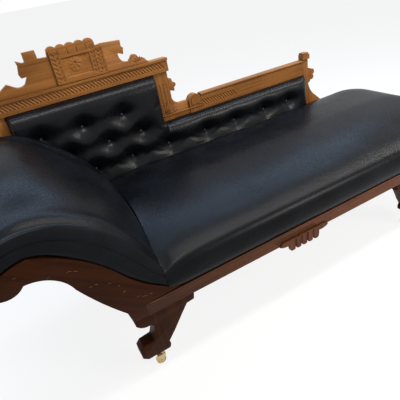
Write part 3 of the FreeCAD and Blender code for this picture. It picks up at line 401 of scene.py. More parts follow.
# Pit of a button: share of the depth and reach of its narrow and of its wide bell curve
PITS = ((0.35, 11.0), (0.65, 34.0))
TROUGH_REACH = 24.0         # half width of the trough along a row, and how it ends past the last buttons
TROUGH_FULL, TROUGH_END = 20.0, 90.0


def pleat_lines():
    """Faint pleats as rows of start x, z and end x, z: from each button to its near neighbours in the
    next row, up to the roll, down to the seat, and the tuck beside the stile."""
    lines = []
    for (z0, upper), (z1, lower) in zip(TUFT_ROWS, TUFT_ROWS[1:]):
        lines += [(xa, z0, xb, z1) for xa in upper for xb in lower
                  if abs(xa - xb) < PLEAT_SLANT * (z0 - z1)]
    lines += [(x, TUFT_ROWS[0][0], x + 5, TUFT_ROWS[0][0] + 34) for x in TUFT_ROWS[0][1]]
    lines += [(x, TUFT_ROWS[-1][0], x - 3, TUFT_ROWS[-1][0] - 44) for x in TUFT_ROWS[-1][1]]
    lines.append((TALL_INNER - 8, TUFT_ROWS[0][0] + 2, TALL_INNER - 34, TUFT_ROWS[0][0] - 9))
    return np.array(lines)


def tuft_relief(x, z, sizes):
    """How far the leather lies behind the pad's face.  Each row of buttons lies in a shallow trough, a
    bell curve of the height above the row.  Round a button a wide and a narrow bell curve add up, and
    a pleat falls off as the exponential of the distance over its width."""
    ax, az, bx, bz = [pleat_lines()[:, i][:, None, None] for i in range(4)]
    t = np.clip(((x - ax) * (bx - ax) + (z - az) * (bz - az)) / ((bx - ax) ** 2 + (bz - az) ** 2), 0.0, 1.0)
    away = np.hypot(x - ax - t * (bx - ax), z - az - t * (bz - az))
    crease = ((1 - 0.5 * np.sin(math.pi * t)) * np.exp(-away / (sizes.pleat_width / MM))).max(0)
    cx, cz = BUTTONS[:, 0][:, None, None], BUTTONS[:, 1][:, None, None]
    reach = np.hypot(x - cx, z - cz)
    pit = sum(share * np.exp(-(reach / width) ** 2) for share, width in PITS).max(0)
    trough = 0 * x
    for height, places in TUFT_ROWS:
        within = ease(x, min(places) - TROUGH_END, min(places) - TROUGH_FULL)
        within = within * (1 - ease(x, max(places) + TROUGH_FULL, max(places) + TROUGH_END))
        trough = np.maximum(trough, within * np.exp(-((z - height) / TROUGH_REACH) ** 2))
    return (sizes.pleat_depth / MM * crease + sizes.trough_depth / MM * trough
            + sizes.tuft_depth / MM * pit)


def quarter_round(distance, radius):
    """Height of a quarter circle: 0 at the edge and 1 from the radius on."""
    t = 1 - np.clip(distance / radius, 0.0, 1.0)
    return np.sqrt(np.maximum(1 - t * t, 0.0))


# Grid of the back pad: columns of the tall and of the low part, rows below and above the step
PAD_COLUMNS = (96, 118)
PAD_ROWS = (36, 34)
LEFT_ROUND = 7.0            # rounding of the pad's edge beside the head's stile
STEP_ROUND = 20.0           # and beside the stile at the step
ROLL_PROUD = 14.0           # how far the edges of the pad stand in front of its back
BUTTON_HOLD = 9.0           # the leather is held as far as this from the middle of a button
RIM_HOLD = 12.0             # and as far as this from the pad's back
PAD_PRESSURE = 3.0


def leather_back(context):
    """Tufted pad of the tall and the low back in one hide.  A grid over its outline, scribed to the
    sweep at its lower corner, is set back by the rolled edges, the pleats and the button pits."""
    sizes = context.scene.couch_sizes
    left, right = PAD_LOW[0], PAD_HIGH[0]
    bottom, top = PAD_LOW[2], PAD_HIGH[2]
    step_x = TALL_INNER - SEAM_GAP
    step_z = LOW_BACK_BOTTOM - SEAM_GAP
    xs = np.concatenate([np.linspace(left, step_x, PAD_COLUMNS[0], endpoint=False),
                         np.linspace(step_x, right, PAD_COLUMNS[1])])
    low_rows = np.linspace(0, 1, PAD_ROWS[0], endpoint=False)[:, None]
    high_rows = np.linspace(0, 1, PAD_ROWS[1])[:, None]
    foot = np.maximum(bottom, np.where(xs < SWEEP_UPPER[0, 0], sweep_top(xs) + SEAM_GAP, bottom))
    z = np.concatenate([foot + low_rows * (step_z - foot), step_z + high_rows * (top - step_z) + 0 * foot])
    x = xs + 0 * z
    over = np.where(x <= step_x + 0.01, top - z, step_z - z)
    edge = quarter_round(over, sizes.pad_roll / MM) * quarter_round(x - left, LEFT_ROUND)
    edge = edge * np.where(z > step_z, quarter_round(step_x - x, STEP_ROUND),
                           quarter_round(right - x, sizes.pad_end / MM))
    y = PAD_LOW[1] + (PAD_HIGH[1] - PAD_LOW[1] - ROLL_PROUD) * (1 - edge) + edge * tuft_relief(x, z, sizes)
    keep = np.ones((x.shape[0] - 1, x.shape[1] - 1), bool)
    keep[PAD_ROWS[0]:, PAD_COLUMNS[0]:] = False
    piece = masked_pad("back_leather", np.stack([x, y, z], -1), keep, PAD_HIGH[1], material("pad_leather"))
    points = piece_points(piece)
    reach = np.hypot(points[:, 0:1] - BUTTONS[:, 0], points[:, 2:3] - BUTTONS[:, 1]).min(1)
    held = (points[:, 1] > PAD_HIGH[1] - RIM_HOLD) | (reach < BUTTON_HOLD)
    stuffed(piece, held, PAD_PRESSURE, sizes.stuffing / MM)
    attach(piece, "root")
    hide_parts("back_pad")


def piece_points(piece):
    """Points of a piece's mesh, or of its evaluated mesh, in couch measures."""
    flat = np.empty(3 * len(piece.data.vertices))
    piece.data.vertices.foreach_get("co", flat)
    return (flat.reshape(-1, 3) - ORIGIN) / MM


COVER_CLOTH = {"quality": 4, "mass": 0.4, "tension_stiffness": 12.0, "compression_stiffness": 12.0,
               "shear_stiffness": 6.0, "bending_stiffness": 1.5, "use_pressure": True}
COVER_FRAMES = 14


def stuffed(piece, held, pressure, most):
    """Swells a closed leather cover by simulation, as stuffing does.  Held points stay, the inner
    pressure pushes the others out until the leather is taut, and none moves further than the most.
    It gives the shallow wrinkles that run between the held points."""
    scene = bpy.context.scene
    before = piece_points(piece)
    group = piece.vertex_groups.new(name="held")
    group.add(np.nonzero(held)[0].tolist(), 1.0, "REPLACE")
    cover = piece.modifiers.new("stuffing", "CLOTH")
    for key, value in COVER_CLOTH.items():
        setattr(cover.settings, key, value)
    cover.settings.uniform_pressure_force = pressure
    cover.settings.vertex_group_mass = "held"
    cover.settings.effector_weights.gravity = 0.0
    cover.collision_settings.use_self_collision = False
    for number in range(1, COVER_FRAMES + 1):
        scene.frame_set(number)
    moved = piece_points(piece.evaluated_get(bpy.context.evaluated_depsgraph_get())) - before
    size = np.linalg.norm(moved, axis=1, keepdims=True)
    after = before + moved * np.minimum(1.0, most / np.maximum(size, 1e-9))
    piece.modifiers.remove(cover)
    piece.vertex_groups.remove(group)
    scene.frame_set(1)
    piece.data.vertices.foreach_set("co", placed(after).ravel())
    piece.data.update()
    finer = piece.modifiers.new("finer", "SUBSURF")
    finer.levels = 1
    finer.render_levels = 1


def masked_pad(name, front, keep, back_y, finish):
    """Closed pad from the kept cells of a grid: the same cells lie flat at the back, and every free
    edge gets a wall."""
    rows, columns = front.shape[:2]
    count = rows * columns
    i, j = np.nonzero(keep)
    a, b = i * columns + j, i * columns + j + 1
    c, d = (i + 1) * columns + j + 1, (i + 1) * columns + j
    faces = [np.stack([a, b, c, d], -1), np.stack([d, c, b, a], -1) + count]
    framed = np.pad(keep, 1)
    inner = framed[1:-1, 1:-1]
    for missing, p, q in ((framed[:-2, 1:-1], 0, 1), (framed[1:-1, 2:], 1, 2),
                          (framed[2:, 1:-1], 2, 3), (framed[1:-1, :-2], 3, 0)):
        i, j = np.nonzero(inner & ~missing)
        corners = [i * columns + j, i * columns + j + 1, (i + 1) * columns + j + 1, (i + 1) * columns + j]
        faces.append(np.stack([corners[q], corners[p], corners[p] + count, corners[q] + count], -1))
    behind = front.copy()
    behind[..., 1] = back_y
    points = np.concatenate([front.reshape(-1, 3), behind.reshape(-1, 3)])
    faces = np.concatenate(faces)
    used, packed = np.unique(faces, return_inverse=True)
    return mesh_piece(name, points[used], packed.reshape(faces.shape), finish)


# Button: its dome's height over its radius, how far it stands out of the pit, and the tucked rim as
# shares of the radius and depths
BUTTON_DOME = 0.42
BUTTON_PROUD = 0.5
BUTTON_RIM = ((0.0, 5.0), (0.62, 5.0), (0.86, 1.5))


def leather_buttons(context):
    """Covered buttons: domes whose profile is a flattened half ellipse with a tucked rim, turned about
    the axis that points out of the pad."""
    sizes = context.scene.couch_sizes
    radius = 0.5 * sizes.button / MM
    q = np.linspace(0, math.pi / 2, 9)
    dome = np.stack([radius * np.cos(q), -BUTTON_DOME * radius * np.sin(q)], -1)
    profile = np.concatenate([np.array(BUTTON_RIM) * (radius, 1.0), dome])
    turn = np.linspace(0, 2 * math.pi, 24, endpoint=False)
    rings = np.stack([profile[:, 0:1] * np.cos(turn), profile[:, 1:2] + 0 * turn,
                      profile[:, 0:1] * np.sin(turn)], -1)
    one = len(turn) * len(profile)
    points = []
    faces = []
    for number, (x, z) in enumerate(BUTTONS):
        sunk = tuft_relief(np.array([[x]]), np.array([[z]]), sizes)[0, 0]
        points.append(rings.reshape(-1, 3) + (x, PAD_LOW[1] + sunk + BUTTON_PROUD, z))
        faces += [list(f + number * one) for f in grid_faces(len(profile), len(turn), True)]
    piece = mesh_piece("buttons", np.concatenate(points), faces, material("button_leather"))
    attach(piece, "root")
    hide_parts("back_buttons")


# Wood

FLAT_ANGLE = math.radians(1.0)      # triangles this flat to each other join to one face
EASED_ANGLE = math.radians(34.0)    # edges sharper than this are eased
BOARD_SMOOTH_ANGLE = 32.0


def eased_copy(node, finish, width):
    """Copy of a CAD node with its triangles joined to flat faces and its edges eased, as a cabinet
    maker takes the arris off a sawn board."""
    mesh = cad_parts[node].data.copy()
    work = bmesh.new()
    work.from_mesh(mesh)
    bmesh.ops.remove_doubles(work, verts=work.verts, dist=WELD)
    bmesh.ops.dissolve_limit(work, angle_limit=FLAT_ANGLE, verts=work.verts, edges=work.edges)
    work.to_mesh(mesh)
    work.free()
    draft = bpy.data.objects.new(node + "_draft", mesh)
    bpy.context.scene.collection.objects.link(draft)
    bevel = draft.modifiers.new("ease", "BEVEL")
    bevel.width = width
    bevel.segments = 2
    bevel.limit_method = "ANGLE"
    bevel.angle_limit = EASED_ANGLE
    made = bpy.data.meshes.new_from_object(draft.evaluated_get(bpy.context.evaluated_depsgraph_get()))
    bpy.data.objects.remove(draft)
    piece = finished(node + "_oak", made, material(finish), BOARD_SMOOTH_ANGLE)
    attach(piece, "root")
    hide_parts(node)


# Boards with eased edges, and nodes that keep the mesh of the CAD, each with its finish
CARVED_BOARDS = {"crest_board": "golden_oak_level"}
SAWN_BOARDS = {"cove_bracket": "golden_oak_level", "stile_ear": "golden_oak_upright",
               "stile_head": "golden_oak_upright", "end_post": "golden_oak_upright",
               "end_post_bracket": "golden_oak_upright", "foot_rail": "rail_oak_across",
               "head_sweep_front": "dark_oak_slanted", "head_sweep_rear": "dark_oak_slanted",
               "leg_front_head": "dark_oak_upright", "leg_rear_head": "dark_oak_upright",
               "leg_front_foot": "dark_oak_upright", "leg_rear_foot": "dark_oak_upright",
               "back_lower_rail": "rail_oak_level"}
CAD_FINISHES = {"end_post_cap": "golden_oak_level", "end_post_ear": "golden_oak_upright",
                "cornice_rail": "golden_oak_level", "low_back_rail": "golden_oak_level",
                "stile_foot": "golden_oak_upright", "round_boss": "golden_oak_upright",
                "front_rail": "rail_oak_level", "front_drop": "rail_oak_upright",
                "rear_rail": "plain_oak", "tall_back_panel": "plain_oak", "low_back_panel": "plain_oak",
                "cross_stretchers": "plain_oak", "corner_blocks": "plain_oak",
                "head_slats": "plain_oak", "head_nose_rail": "plain_oak", "leg_dowels": "plain_oak",
                "head_lining": "cambric", "dust_cover": "cambric", "seat_springs": "spring_steel",
                "block_screws": "spring_steel", "back_frame_screws": "spring_steel",
                "seat_webbing": "jute_webbing"}


# Carving of the crest.  Boxes are left, right, bottom and top, with heights from the cornice.
CREST_BUMPS = 5
BUMP_LEFT = -102.0
BUMP_RIGHT = 56.0
CREST_HEIGHT = 125.0
PANEL_TUCK = 2.0            # the panel starts this far above the cornice
PANEL_STEP = 0.74           # past the bumps it ends at this share of the crest's height
PANEL_COLUMNS = (107, 15)   # grid up to the last bump and past it, below and above the step
PANEL_ROWS = (62, 14)
PANEL_SMOOTH_ANGLE = 62.0
FIELD = (-68.0, 30.0, 19.0, 83.0)
FIELD_DEPTH = 3.4
ROSETTE = (-25.0, 61.0)
PETAL_HEIGHT = 3.0
EYE, EYE_RING, EYE_HOLE = 7.5, 4.0, 3.6
LEAF_HEIGHT = 2.2
LEAF_REACH = 21.0
STRIPS = ((-97.0, -72.0, 8.0, 104.0), (34.0, 49.0, 8.0, 104.0), (52.0, 74.0, 8.0, 88.0))
STRIP_PITCH = 15.0
STRIP_DEPTH = 2.0
BUMP_CUT = 2.0


def carved_panel():
    """Panel of the crest as one carved face over a grid, its upper right corner cut out."""
    low, high = span("crest_panel")
    base = low[2] - PANEL_TUCK
    step = base + PANEL_STEP * CREST_HEIGHT
    xs = np.concatenate([np.linspace(low[0], BUMP_RIGHT, PANEL_COLUMNS[0], endpoint=False),
                         np.linspace(BUMP_RIGHT, high[0], PANEL_COLUMNS[1])])
    zs = np.concatenate([np.linspace(low[2], step, PANEL_ROWS[0], endpoint=False),
                         np.linspace(step, high[2], PANEL_ROWS[1])])
    x, z = np.meshgrid(xs, zs)
    front = np.stack([x, low[1] - panel_relief(x, z - base), z], -1)
    keep = np.ones((len(zs) - 1, len(xs) - 1), bool)
    keep[PANEL_ROWS[0]:, PANEL_COLUMNS[0]:] = False
    piece = masked_pad("crest_panel_carving", front, keep, high[1], material("golden_oak_level"))
    piece.data.set_sharp_from_angle(angle=math.radians(PANEL_SMOOTH_ANGLE))
    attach(piece, "root")
    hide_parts("crest_panel")


def inset(x, z, left, right, bottom, top):
    """How far a point lies inside a box, from its nearer upright and from its nearer level edge."""
    return np.minimum(x - left, right - x), np.minimum(z - bottom, top - z)


def panel_relief(x, z):
    """Height of the panel's carving past its face, z from the cornice: a sunk field with a rosette and
    corner leaves, stippled strips of leaves, and short cuts between the bumps.  Rosette petals are half
    ellipses cut by the cosine of four times the angle, leaves are bell curves about slanting lines."""
    across, up = inset(x, z, *FIELD)
    sunk = ease(np.minimum(across, up), 0.0, 1.8)
    r = np.hypot(x - ROSETTE[0], z - ROSETTE[1])
    a = np.arctan2(z - ROSETTE[1], x - ROSETTE[0])
    petal_reach = 24.0 - 5.0 * np.sin(a)
    petals = PETAL_HEIGHT * np.sqrt(np.clip(1 - (r / petal_reach) ** 2, 0, 1))
    petals = petals * (0.25 + 0.75 * np.abs(np.cos(4 * a)) ** 0.6)
    petals = np.where(r > EYE, petals, 2.6 * (r > EYE_RING) - 1.5 * (r <= EYE_HOLE))
    leaves = LEAF_HEIGHT * np.clip(1 - (np.hypot(across, up) / LEAF_REACH) ** 2, 0, 1)
    leaves = leaves * (0.3 + 0.7 * np.abs(np.cos(5 * np.arctan2(up, across))))
    height = sunk * (-FIELD_DEPTH + np.maximum(petals, leaves))
    for left, right, bottom, top in STRIPS:
        edge = np.minimum(*inset(x, z, left, right, bottom, top))
        middle = 0.5 * (left + right)
        phase = np.mod(z - 0.9 * np.abs(x - middle), STRIP_PITCH) - STRIP_PITCH / 2
        leaf = np.exp(-(phase / 2.7) ** 2) + np.exp(-((x - middle) / 1.2) ** 2)
        stipple = 0.35 * np.sin(2.3 * x + 1.1 * z) * np.sin(1.9 * z - 1.7 * x)
        height = height + ease(edge, 0.0, 1.4) * (-STRIP_DEPTH + stipple + 1.7 * np.minimum(leaf, 1.0))
    pitch = (BUMP_RIGHT - BUMP_LEFT) / CREST_BUMPS
    for number in range(1, CREST_BUMPS):
        cut = np.exp(-((x - BUMP_LEFT - number * pitch) / 1.3) ** 2)
        height = height - BUMP_CUT * cut * ease(z, 87.0, 91.0)
    return height


RIB_BED = 0.6               # how deep a rib is rooted in the wood


def carved_ribs(name, paths, finish):
    """Thin ribs left by the carver, or the bright burr beside an incised line.  Each path is rows of
    x, y, z and half width; the section is a flattened half circle that stands out of the wood
    towards the front."""
    points = []
    faces = []
    total = 0
    turn = np.linspace(0.0, math.pi, 6)
    for rows, proud in paths:
        line = smooth_curve(rows, 4 + 6 * len(rows))
        way = np.gradient(line[:, :3], axis=0)
        side = np.stack([way[:, 2], 0 * way[:, 1], -way[:, 0]], -1)
        side = side / np.maximum(np.linalg.norm(side, axis=1, keepdims=True), 1e-9)
        half = line[:, 3][:, None, None]
        rings = line[:, None, :3] + side[:, None, :] * half * np.cos(turn)[None, :, None]
        rings[..., 1] += RIB_BED - (RIB_BED + proud) * np.sin(turn)[None, :]
        count, around = rings.shape[:2]
        points.append(rings.reshape(-1, 3))
        faces += [[int(i) + total for i in face] for face in grid_faces(count, around, True)]
        faces += [[total + first + j for j in range(around)] for first in (0, (count - 1) * around)]
        total += count * around
    piece = mesh_piece(name, np.concatenate(points), faces, material(finish))
    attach(piece, "root")


# Fan at the foot of the stile: its middle, each rib's angle and reach, and along a rib the share of
# the reach and the half width.  The bracket beside the stile stands further back.
STILE_FAN = (257.0, 361.0)
STILE_RIBS = ((78.0, 50.0), (64.0, 56.0), (50.0, 60.0), (36.0, 62.0), (22.0, 63.0), (9.0, 62.0))
STILE_RIB = ((0.12, 0.5), (0.5, 1.6), (0.85, 2.2), (1.0, 0.9))
STILE_SUNK, BRACKET_SUNK = 3.0, 8.0
# Fan on the crest's ear: its middle, z from the cornice, the ribs' angles, and places along a rib
CREST_FAN = (202.0, 6.0)
CREST_RIBS = (154.0, 128.0, 102.0, 76.0, 52.0)
CREST_RIB = ((7.0, 0.5), (15.0, 1.4), (23.0, 0.8))
# Flowers of the sweep: x, z, and how far a stroke runs along and up; the last line lies under them
FLOWERS = ((-308, 257, 14, -3), (-292, 252, 10, -6), (-272, 186, 9, -2), (-257, 187, 8, -4),
           (-418, 300, 9, -1), (-352, 262, 7, 4), (-226, 172, 8, -5), (-168, 84, 12, 1),
           (-152, 78, 16, -5), (-131, 76, 10, -4), (-196, 120, 6, 5), (-205, 150, 7, -3))
FLOWER_LINE = ((-141, 44, 0.4), (-114, 41, 0.9), (-86, 37, 0.4))


def carved_fans():
    """Fan of ribs at the foot of the stile, the small fan on the crest's ear, and the broken lines of the
    sweep's incised flowers, whose lighter oak on the darker sweep is a painted highlight."""
    stile_front = span("stile_foot")[0][1]
    fan = []
    for angle, reach in STILE_RIBS:
        q = math.radians(angle)
        rows = []
        for share, half in STILE_RIB:
            x = STILE_FAN[0] + share * reach * math.cos(q)
            sunk = STILE_SUNK if x < STILE_RIGHT else BRACKET_SUNK
            rows.append((x, stile_front + sunk, STILE_FAN[1] + share * reach * math.sin(q), half))
        fan.append((rows, 1.6))
    crest_low = span("crest_board")[0]
    for angle in CREST_RIBS:
        q = math.radians(angle)
        fan.append(([(CREST_FAN[0] + s * math.cos(q), crest_low[1],
                      crest_low[2] + CREST_FAN[1] + s * math.sin(q), h) for s, h in CREST_RIB], 1.4))
    carved_ribs("oak_fans", fan, "golden_oak_level")
    face = span("head_sweep_front")[0][1]
    strokes = [[(x, face, z, 0.3), (x + 0.5 * across, face, z + 0.5 * up + 1.5, 0.9),
                (x + across, face, z + up, 0.3)] for x, z, across, up in FLOWERS]
    strokes.append([(x, face, z, half) for x, z, half in FLOWER_LINE])
    # Painted highlight: the flower strokes take the lighter golden oak on the darker sweep.
    carved_ribs("sweep_flowers", [(rows, 0.8) for rows in strokes], "rubbed_oak")


# Materials

def add_node(tree, kind, links=(), stops=(), **settings):
    """Outputs of a new shader node.  Links pair an input, by name or number, with a socket or a value,
    and stops pair a place on a ramp with a colour."""
    node = tree.nodes.new("ShaderNode" + kind)
    for key, value in settings.items():
        setattr(node, key, value)
    for key, value in dict(links).items():
        if isinstance(value, bpy.types.NodeSocket):
            tree.links.new(value, node.inputs[key])
        else:
            node.inputs[key].default_value = value
    if stops:
        ramp = node.color_ramp
        while len(ramp.elements) < len(stops):
            ramp.elements.new(0.5)
        for element, (place, value) in zip(ramp.elements, stops):
            element.position = place
            element.color = (*value, 1.0)
    return node.outputs


def emptied(data):
    """Node tree of a new material or world, without its first nodes."""
    data.use_nodes = True
    data.node_tree.nodes.clear()
    return data.node_tree


def new_material(name):
    """Tree of a new material, and the places in its object that textures are laid by."""
    tree = emptied(bpy.data.materials.new(name))
    return tree, add_node(tree, "TexCoord")["Object"]


def add_surface(tree, links):
    """Ends a material's tree in the shader with these inputs."""
    add_node(tree, "OutputMaterial", {"Surface": add_node(tree, "BsdfPrincipled", links)[0]})


def material(name):
    return bpy.data.materials[name]


def blend(a, b, share):
    return tuple(x + (y - x) * share for x, y in zip(a, b))


def leather_material(name, dark, light, grain, smooth, coarse, shine):
    """Dyed, wax-finished leather: near black, a satin gloss that spreads a light into a broad pale
    band, and a pebbled grain that breaks the band up into fine specks."""
    tree, place = new_material(name)
    cloud = add_node(tree, "TexNoise", {"Vector": place, "Scale": 9.0, "Detail": 3.0})
    pebble = add_node(tree, "TexVoronoi", {"Vector": place, "Scale": 1.0 / grain},
                      feature="DISTANCE_TO_EDGE")
    fine = add_node(tree, "TexNoise", {"Vector": place, "Scale": 0.6 / grain, "Detail": 3.0})
    tone = add_node(tree, "ValToRGB", {"Fac": cloud[0]}, stops=((0.35, dark), (0.75, light)))
    rough = add_node(tree, "MapRange", {"Value": fine[0], "From Min": 0.3, "From Max": 0.7,
                                        "To Min": smooth, "To Max": coarse})
    creases = add_node(tree, "TexNoise", {"Vector": place, "Scale": 60.0, "Detail": 4.0,
                                          "Distortion": 0.5})
    soft = add_node(tree, "Bump", {"Strength": 0.22, "Distance": 0.0018, "Height": creases[0]})
    grainy = add_node(tree, "Bump", {"Strength": 0.35, "Distance": 0.0006, "Height": pebble["Distance"],
                                     "Normal": soft[0]})
    add_surface(tree, {"Base Color": tone[0], "Roughness": rough[0], "Normal": grainy[0],
                       "Specular IOR Level": shine})


def oak_material(name, light, dark, turn, pore, head_end_shade, shine):
    """Quarter-sawn oak under a rubbed shellac.  Along the grain run late-wood bands a few millimetres
    wide and short open pores.  Ambient occlusion darkens the colour in the recesses of carving, which is
    painted shade, and the colour may run darker towards the head end, which is painted shade for the
    fall-off of the light."""
    tree, place = new_material(name)
    along = add_node(tree, "Mapping", {"Vector": place, "Rotation": turn})[0]
    stretched = add_node(tree, "Mapping", {"Vector": along, "Scale": (3.0, 90.0, 90.0)})
    bands = add_node(tree, "TexNoise", {"Vector": stretched[0], "Scale": 1.0, "Detail": 6.0,
                                        "Roughness": 0.62, "Distortion": 0.25})
    short = 1.0 / pore
    streaks = add_node(tree, "Mapping", {"Vector": along, "Scale": (0.06 * short, short, short)})
    pores = add_node(tree, "TexNoise", {"Vector": streaks[0], "Scale": 0.5, "Detail": 2.0})
    open_pores = add_node(tree, "MapRange", {"Value": pores[0], "From Min": 0.60, "From Max": 0.72,
                                             "To Max": 0.55})
    cloud = add_node(tree, "TexNoise", {"Vector": along, "Scale": 5.0, "Detail": 2.0})
    tone = add_node(tree, "ValToRGB", {"Fac": bands[0]},
                    stops=((0.28, dark), (0.50, blend(light, dark, 0.40)), (0.72, light)))
    shade = add_node(tree, "MapRange", {"Value": cloud[0], "From Min": 0.3, "From Max": 0.7,
                                        "To Min": 0.82, "To Max": 1.12})
    # Painted shade: the colour darkens along the object's X towards the head end, for the light's fall-off
    # there.
    length_way = add_node(tree, "SeparateXYZ", {"Vector": place})["X"]
    painted_falloff = add_node(tree, "MapRange", {"Value": length_way, "From Min": -0.50, "From Max": 0.0,
                                        "To Min": head_end_shade, "To Max": 1.0})
    shade = add_node(tree, "Math", {0: shade[0], 1: painted_falloff[0]}, operation="MULTIPLY")
    clouded = add_node(tree, "Mix", {0: 1.0, 6: tone[0], 7: shade[0]}, data_type="RGBA",
                       blend_type="MULTIPLY")
    pored = add_node(tree, "Mix", {0: open_pores[0], 6: clouded[2],
                                   7: (*blend(dark, (0, 0, 0), 0.35), 1.0)}, data_type="RGBA")
    # Painted shade: ambient occlusion darkens the colour in the carving's recesses.
    recess = add_node(tree, "AmbientOcclusion", {"Distance": 0.009}, samples=6)
    recess_shade = add_node(tree, "MapRange", {"Value": recess["AO"], "From Min": 0.35, "From Max": 0.95,
                                       "To Min": 0.42, "To Max": 1.0})
    recess_shaded = add_node(tree, "Mix", {0: 1.0, 6: pored[2], 7: recess_shade[0]}, data_type="RGBA",
                    blend_type="MULTIPLY")
    rough = add_node(tree, "MapRange", {"Value": bands[0], "From Min": 0.3, "From Max": 0.7,
                                        "To Min": 0.50, "To Max": 0.38})
    relief = add_node(tree, "Bump", {"Strength": 0.35, "Distance": 0.0004, "Height": bands[0]})
    add_surface(tree, {"Base Color": recess_shaded[2], "Roughness": rough[0], "Normal": relief[0],
                       "Specular IOR Level": shine})


def metal_material(name, tint, dull):
    """Old cast or drawn metal: cloudy tarnish and a fine mottled surface."""
    tree, place = new_material(name)
    cloud = add_node(tree, "TexNoise", {"Vector": place, "Scale": 90.0, "Detail": 4.0})
    tone = add_node(tree, "ValToRGB", {"Fac": cloud[0]},
                    stops=((0.35, blend(tint, (0, 0, 0), 0.6)), (0.65, tint)))
    rough = add_node(tree, "MapRange", {"Value": cloud[0], "To Min": dull + 0.2, "To Max": dull - 0.1})
    pits = add_node(tree, "Bump", {"Strength": 0.2, "Distance": 0.0003, "Height": cloud[0]})
    add_surface(tree, {"Base Color": tone[0], "Roughness": rough[0], "Normal": pits[0], "Metallic": 1.0})


def cloth_material(name, tint, thread):
    """Plain weave: two sets of threads at right angles, the thread spacing in millimetres."""
    tree, place = new_material(name)
    scale = 0.5 / (thread * MM) / 3.0
    weft = add_node(tree, "TexWave", {"Vector": place, "Scale": scale}, bands_direction="X")
    warp = add_node(tree, "TexWave", {"Vector": place, "Scale": scale}, bands_direction="Y")
    woven = add_node(tree, "Math", {0: weft["Fac"], 1: warp["Fac"]}, operation="MULTIPLY")
    slubs = add_node(tree, "TexNoise", {"Vector": place, "Scale": 60.0, "Detail": 3.0})
    mixed = add_node(tree, "Math", {0: woven[0], 1: slubs[0]}, operation="ADD")
    tone = add_node(tree, "ValToRGB", {"Fac": mixed[0]},
                    stops=((0.3, blend(tint, (0, 0, 0), 0.5)), (1.0, tint)))
    relief = add_node(tree, "Bump", {"Strength": 0.6, "Distance": 0.0006, "Height": woven[0]})
    add_surface(tree, {"Base Color": tone[0], "Normal": relief[0], "Roughness": 0.9})


# Turn of the grain, and the oaks: ways their grain runs, how dark the painted shade of the light's fall-off
# makes the head end, shine
WAYS = {"level": (0.0, 0.0, 0.0), "upright": (0.0, math.radians(90.0), 0.0),
        "across": (0.0, 0.0, math.radians(90.0)), "slanted": (0.0, math.radians(-38.0), 0.0)}
OAKS = {"golden_oak": (("level", "upright"), 1.0, 0.16),
        # Painted shade: the rail oak is a darker copy of the golden oak, and darker again towards the head
        # end.
        "rail_oak": (("level", "upright", "across"), 0.55, 0.16),
        # Painted shade: the oak of the sweeps and legs is a darker copy of the golden oak.
        "dark_oak": (("upright", "slanted"), 1.0, 0.06)}
# Leathers: lighter tone, roughness where it is smooth and where it is coarse, shine
LEATHERS = {"dyed_leather": ("leather_light", 0.23, 0.38, 0.09),
            "pad_leather": ("leather_light", 0.23, 0.38, 0.15),
            "button_leather": ("leather", 0.40, 0.60, 0.04)}


def make_materials(context):
    """All finishes, from the colours and sizes that are set."""
    colours = context.scene.couch_colours
    sizes = context.scene.couch_sizes
    tone = {key: tuple(getattr(colours, key)) for key in CouchColours.__annotations__}
    for name, (light, smooth, coarse, shine) in LEATHERS.items():
        leather_material(name, tone["leather"], tone[light], sizes.leather_grain, smooth, coarse, shine)
    for wood, (ways, head_end_shade, shine) in OAKS.items():
        for way in ways:
            oak_material(wood + "_" + way, tone[wood], tone[wood + "_dark"], WAYS[way], sizes.oak_pore,
                         head_end_shade, shine)
    # Painted highlight: the oak of the sweep's flower strokes is the golden oak's lighter colour.
    for name, wood, way in (("rubbed_oak", "golden_oak", "slanted"), ("plain_oak", "plain_oak", "level")):
        oak_material(name, tone[wood], tone["golden_oak_dark"], WAYS[way], sizes.oak_pore, 1.0, 0.16)
    metal_material("aged_brass", tone["brass"], 0.42)
    metal_material("spring_steel", tone["steel"], 0.5)
    cloth_material("jute_webbing", tone["jute"], 2.4)
    cloth_material("cambric", tone["cambric"], 1.2)


# Stage

# Camera: place in the couch's measures, its three axes, and its lens in pixels of the photograph
CAMERA_PLACE = (-287.94, -831.40, 820.87)
CAMERA_RIGHT = (0.86050, -0.48220, -0.16439)
CAMERA_UP = (0.37140, 0.37288, 0.85031)
CAMERA_BACK = (-0.34872, -0.79275, 0.49995)
FOCAL_PIXELS = 385.0
PICTURE_PIXELS = 400.0
SENSOR = 36.0
# Lamps: name, place, target, size, power and tint
LAMPS = (
    ("ceiling", (1.1, -0.42, 2.33), (1.1, -0.16, 0.0), (4.4, 0.24), 66.0, (1.0, 0.97, 0.93)),
    ("sky", (0.3, 0.80, 2.30), (0.3, 0.4, 0.3), (4.4, 0.40), 56.0, (0.46, 0.68, 1.0)),
    ("front", (1.5, -2.1, 1.65), (0.3, 0.2, 0.40), (0.9, 0.7), 38.0, (1.0, 0.94, 0.86)),
)
FLOOR_HALF = 400.0
FLOOR_GLOW = 0.86           # share of its own light in what the camera sees of the floor
ROOM_TINT = (0.88, 0.92, 1.0, 1.0)
ROOM_LIGHT = 0.34
WHITE = (1.0, 1.0, 1.0, 1.0)


def add_camera():
    """Camera at the photograph's place, its lens worked out from the focal length in pixels."""
    data = bpy.data.cameras.new("camera")
    data.sensor_fit = "HORIZONTAL"
    data.sensor_width = SENSOR
    data.lens = SENSOR * FOCAL_PIXELS / PICTURE_PIXELS
    data.clip_start = 0.05
    camera = bpy.data.objects.new("camera", data)
    bpy.context.scene.collection.objects.link(camera)
    axes = Matrix((CAMERA_RIGHT, CAMERA_UP, CAMERA_BACK)).transposed()
    camera.matrix_world = Matrix.Translation(placed(CAMERA_PLACE).tolist()) @ axes.to_4x4()
    bpy.context.scene.camera = camera


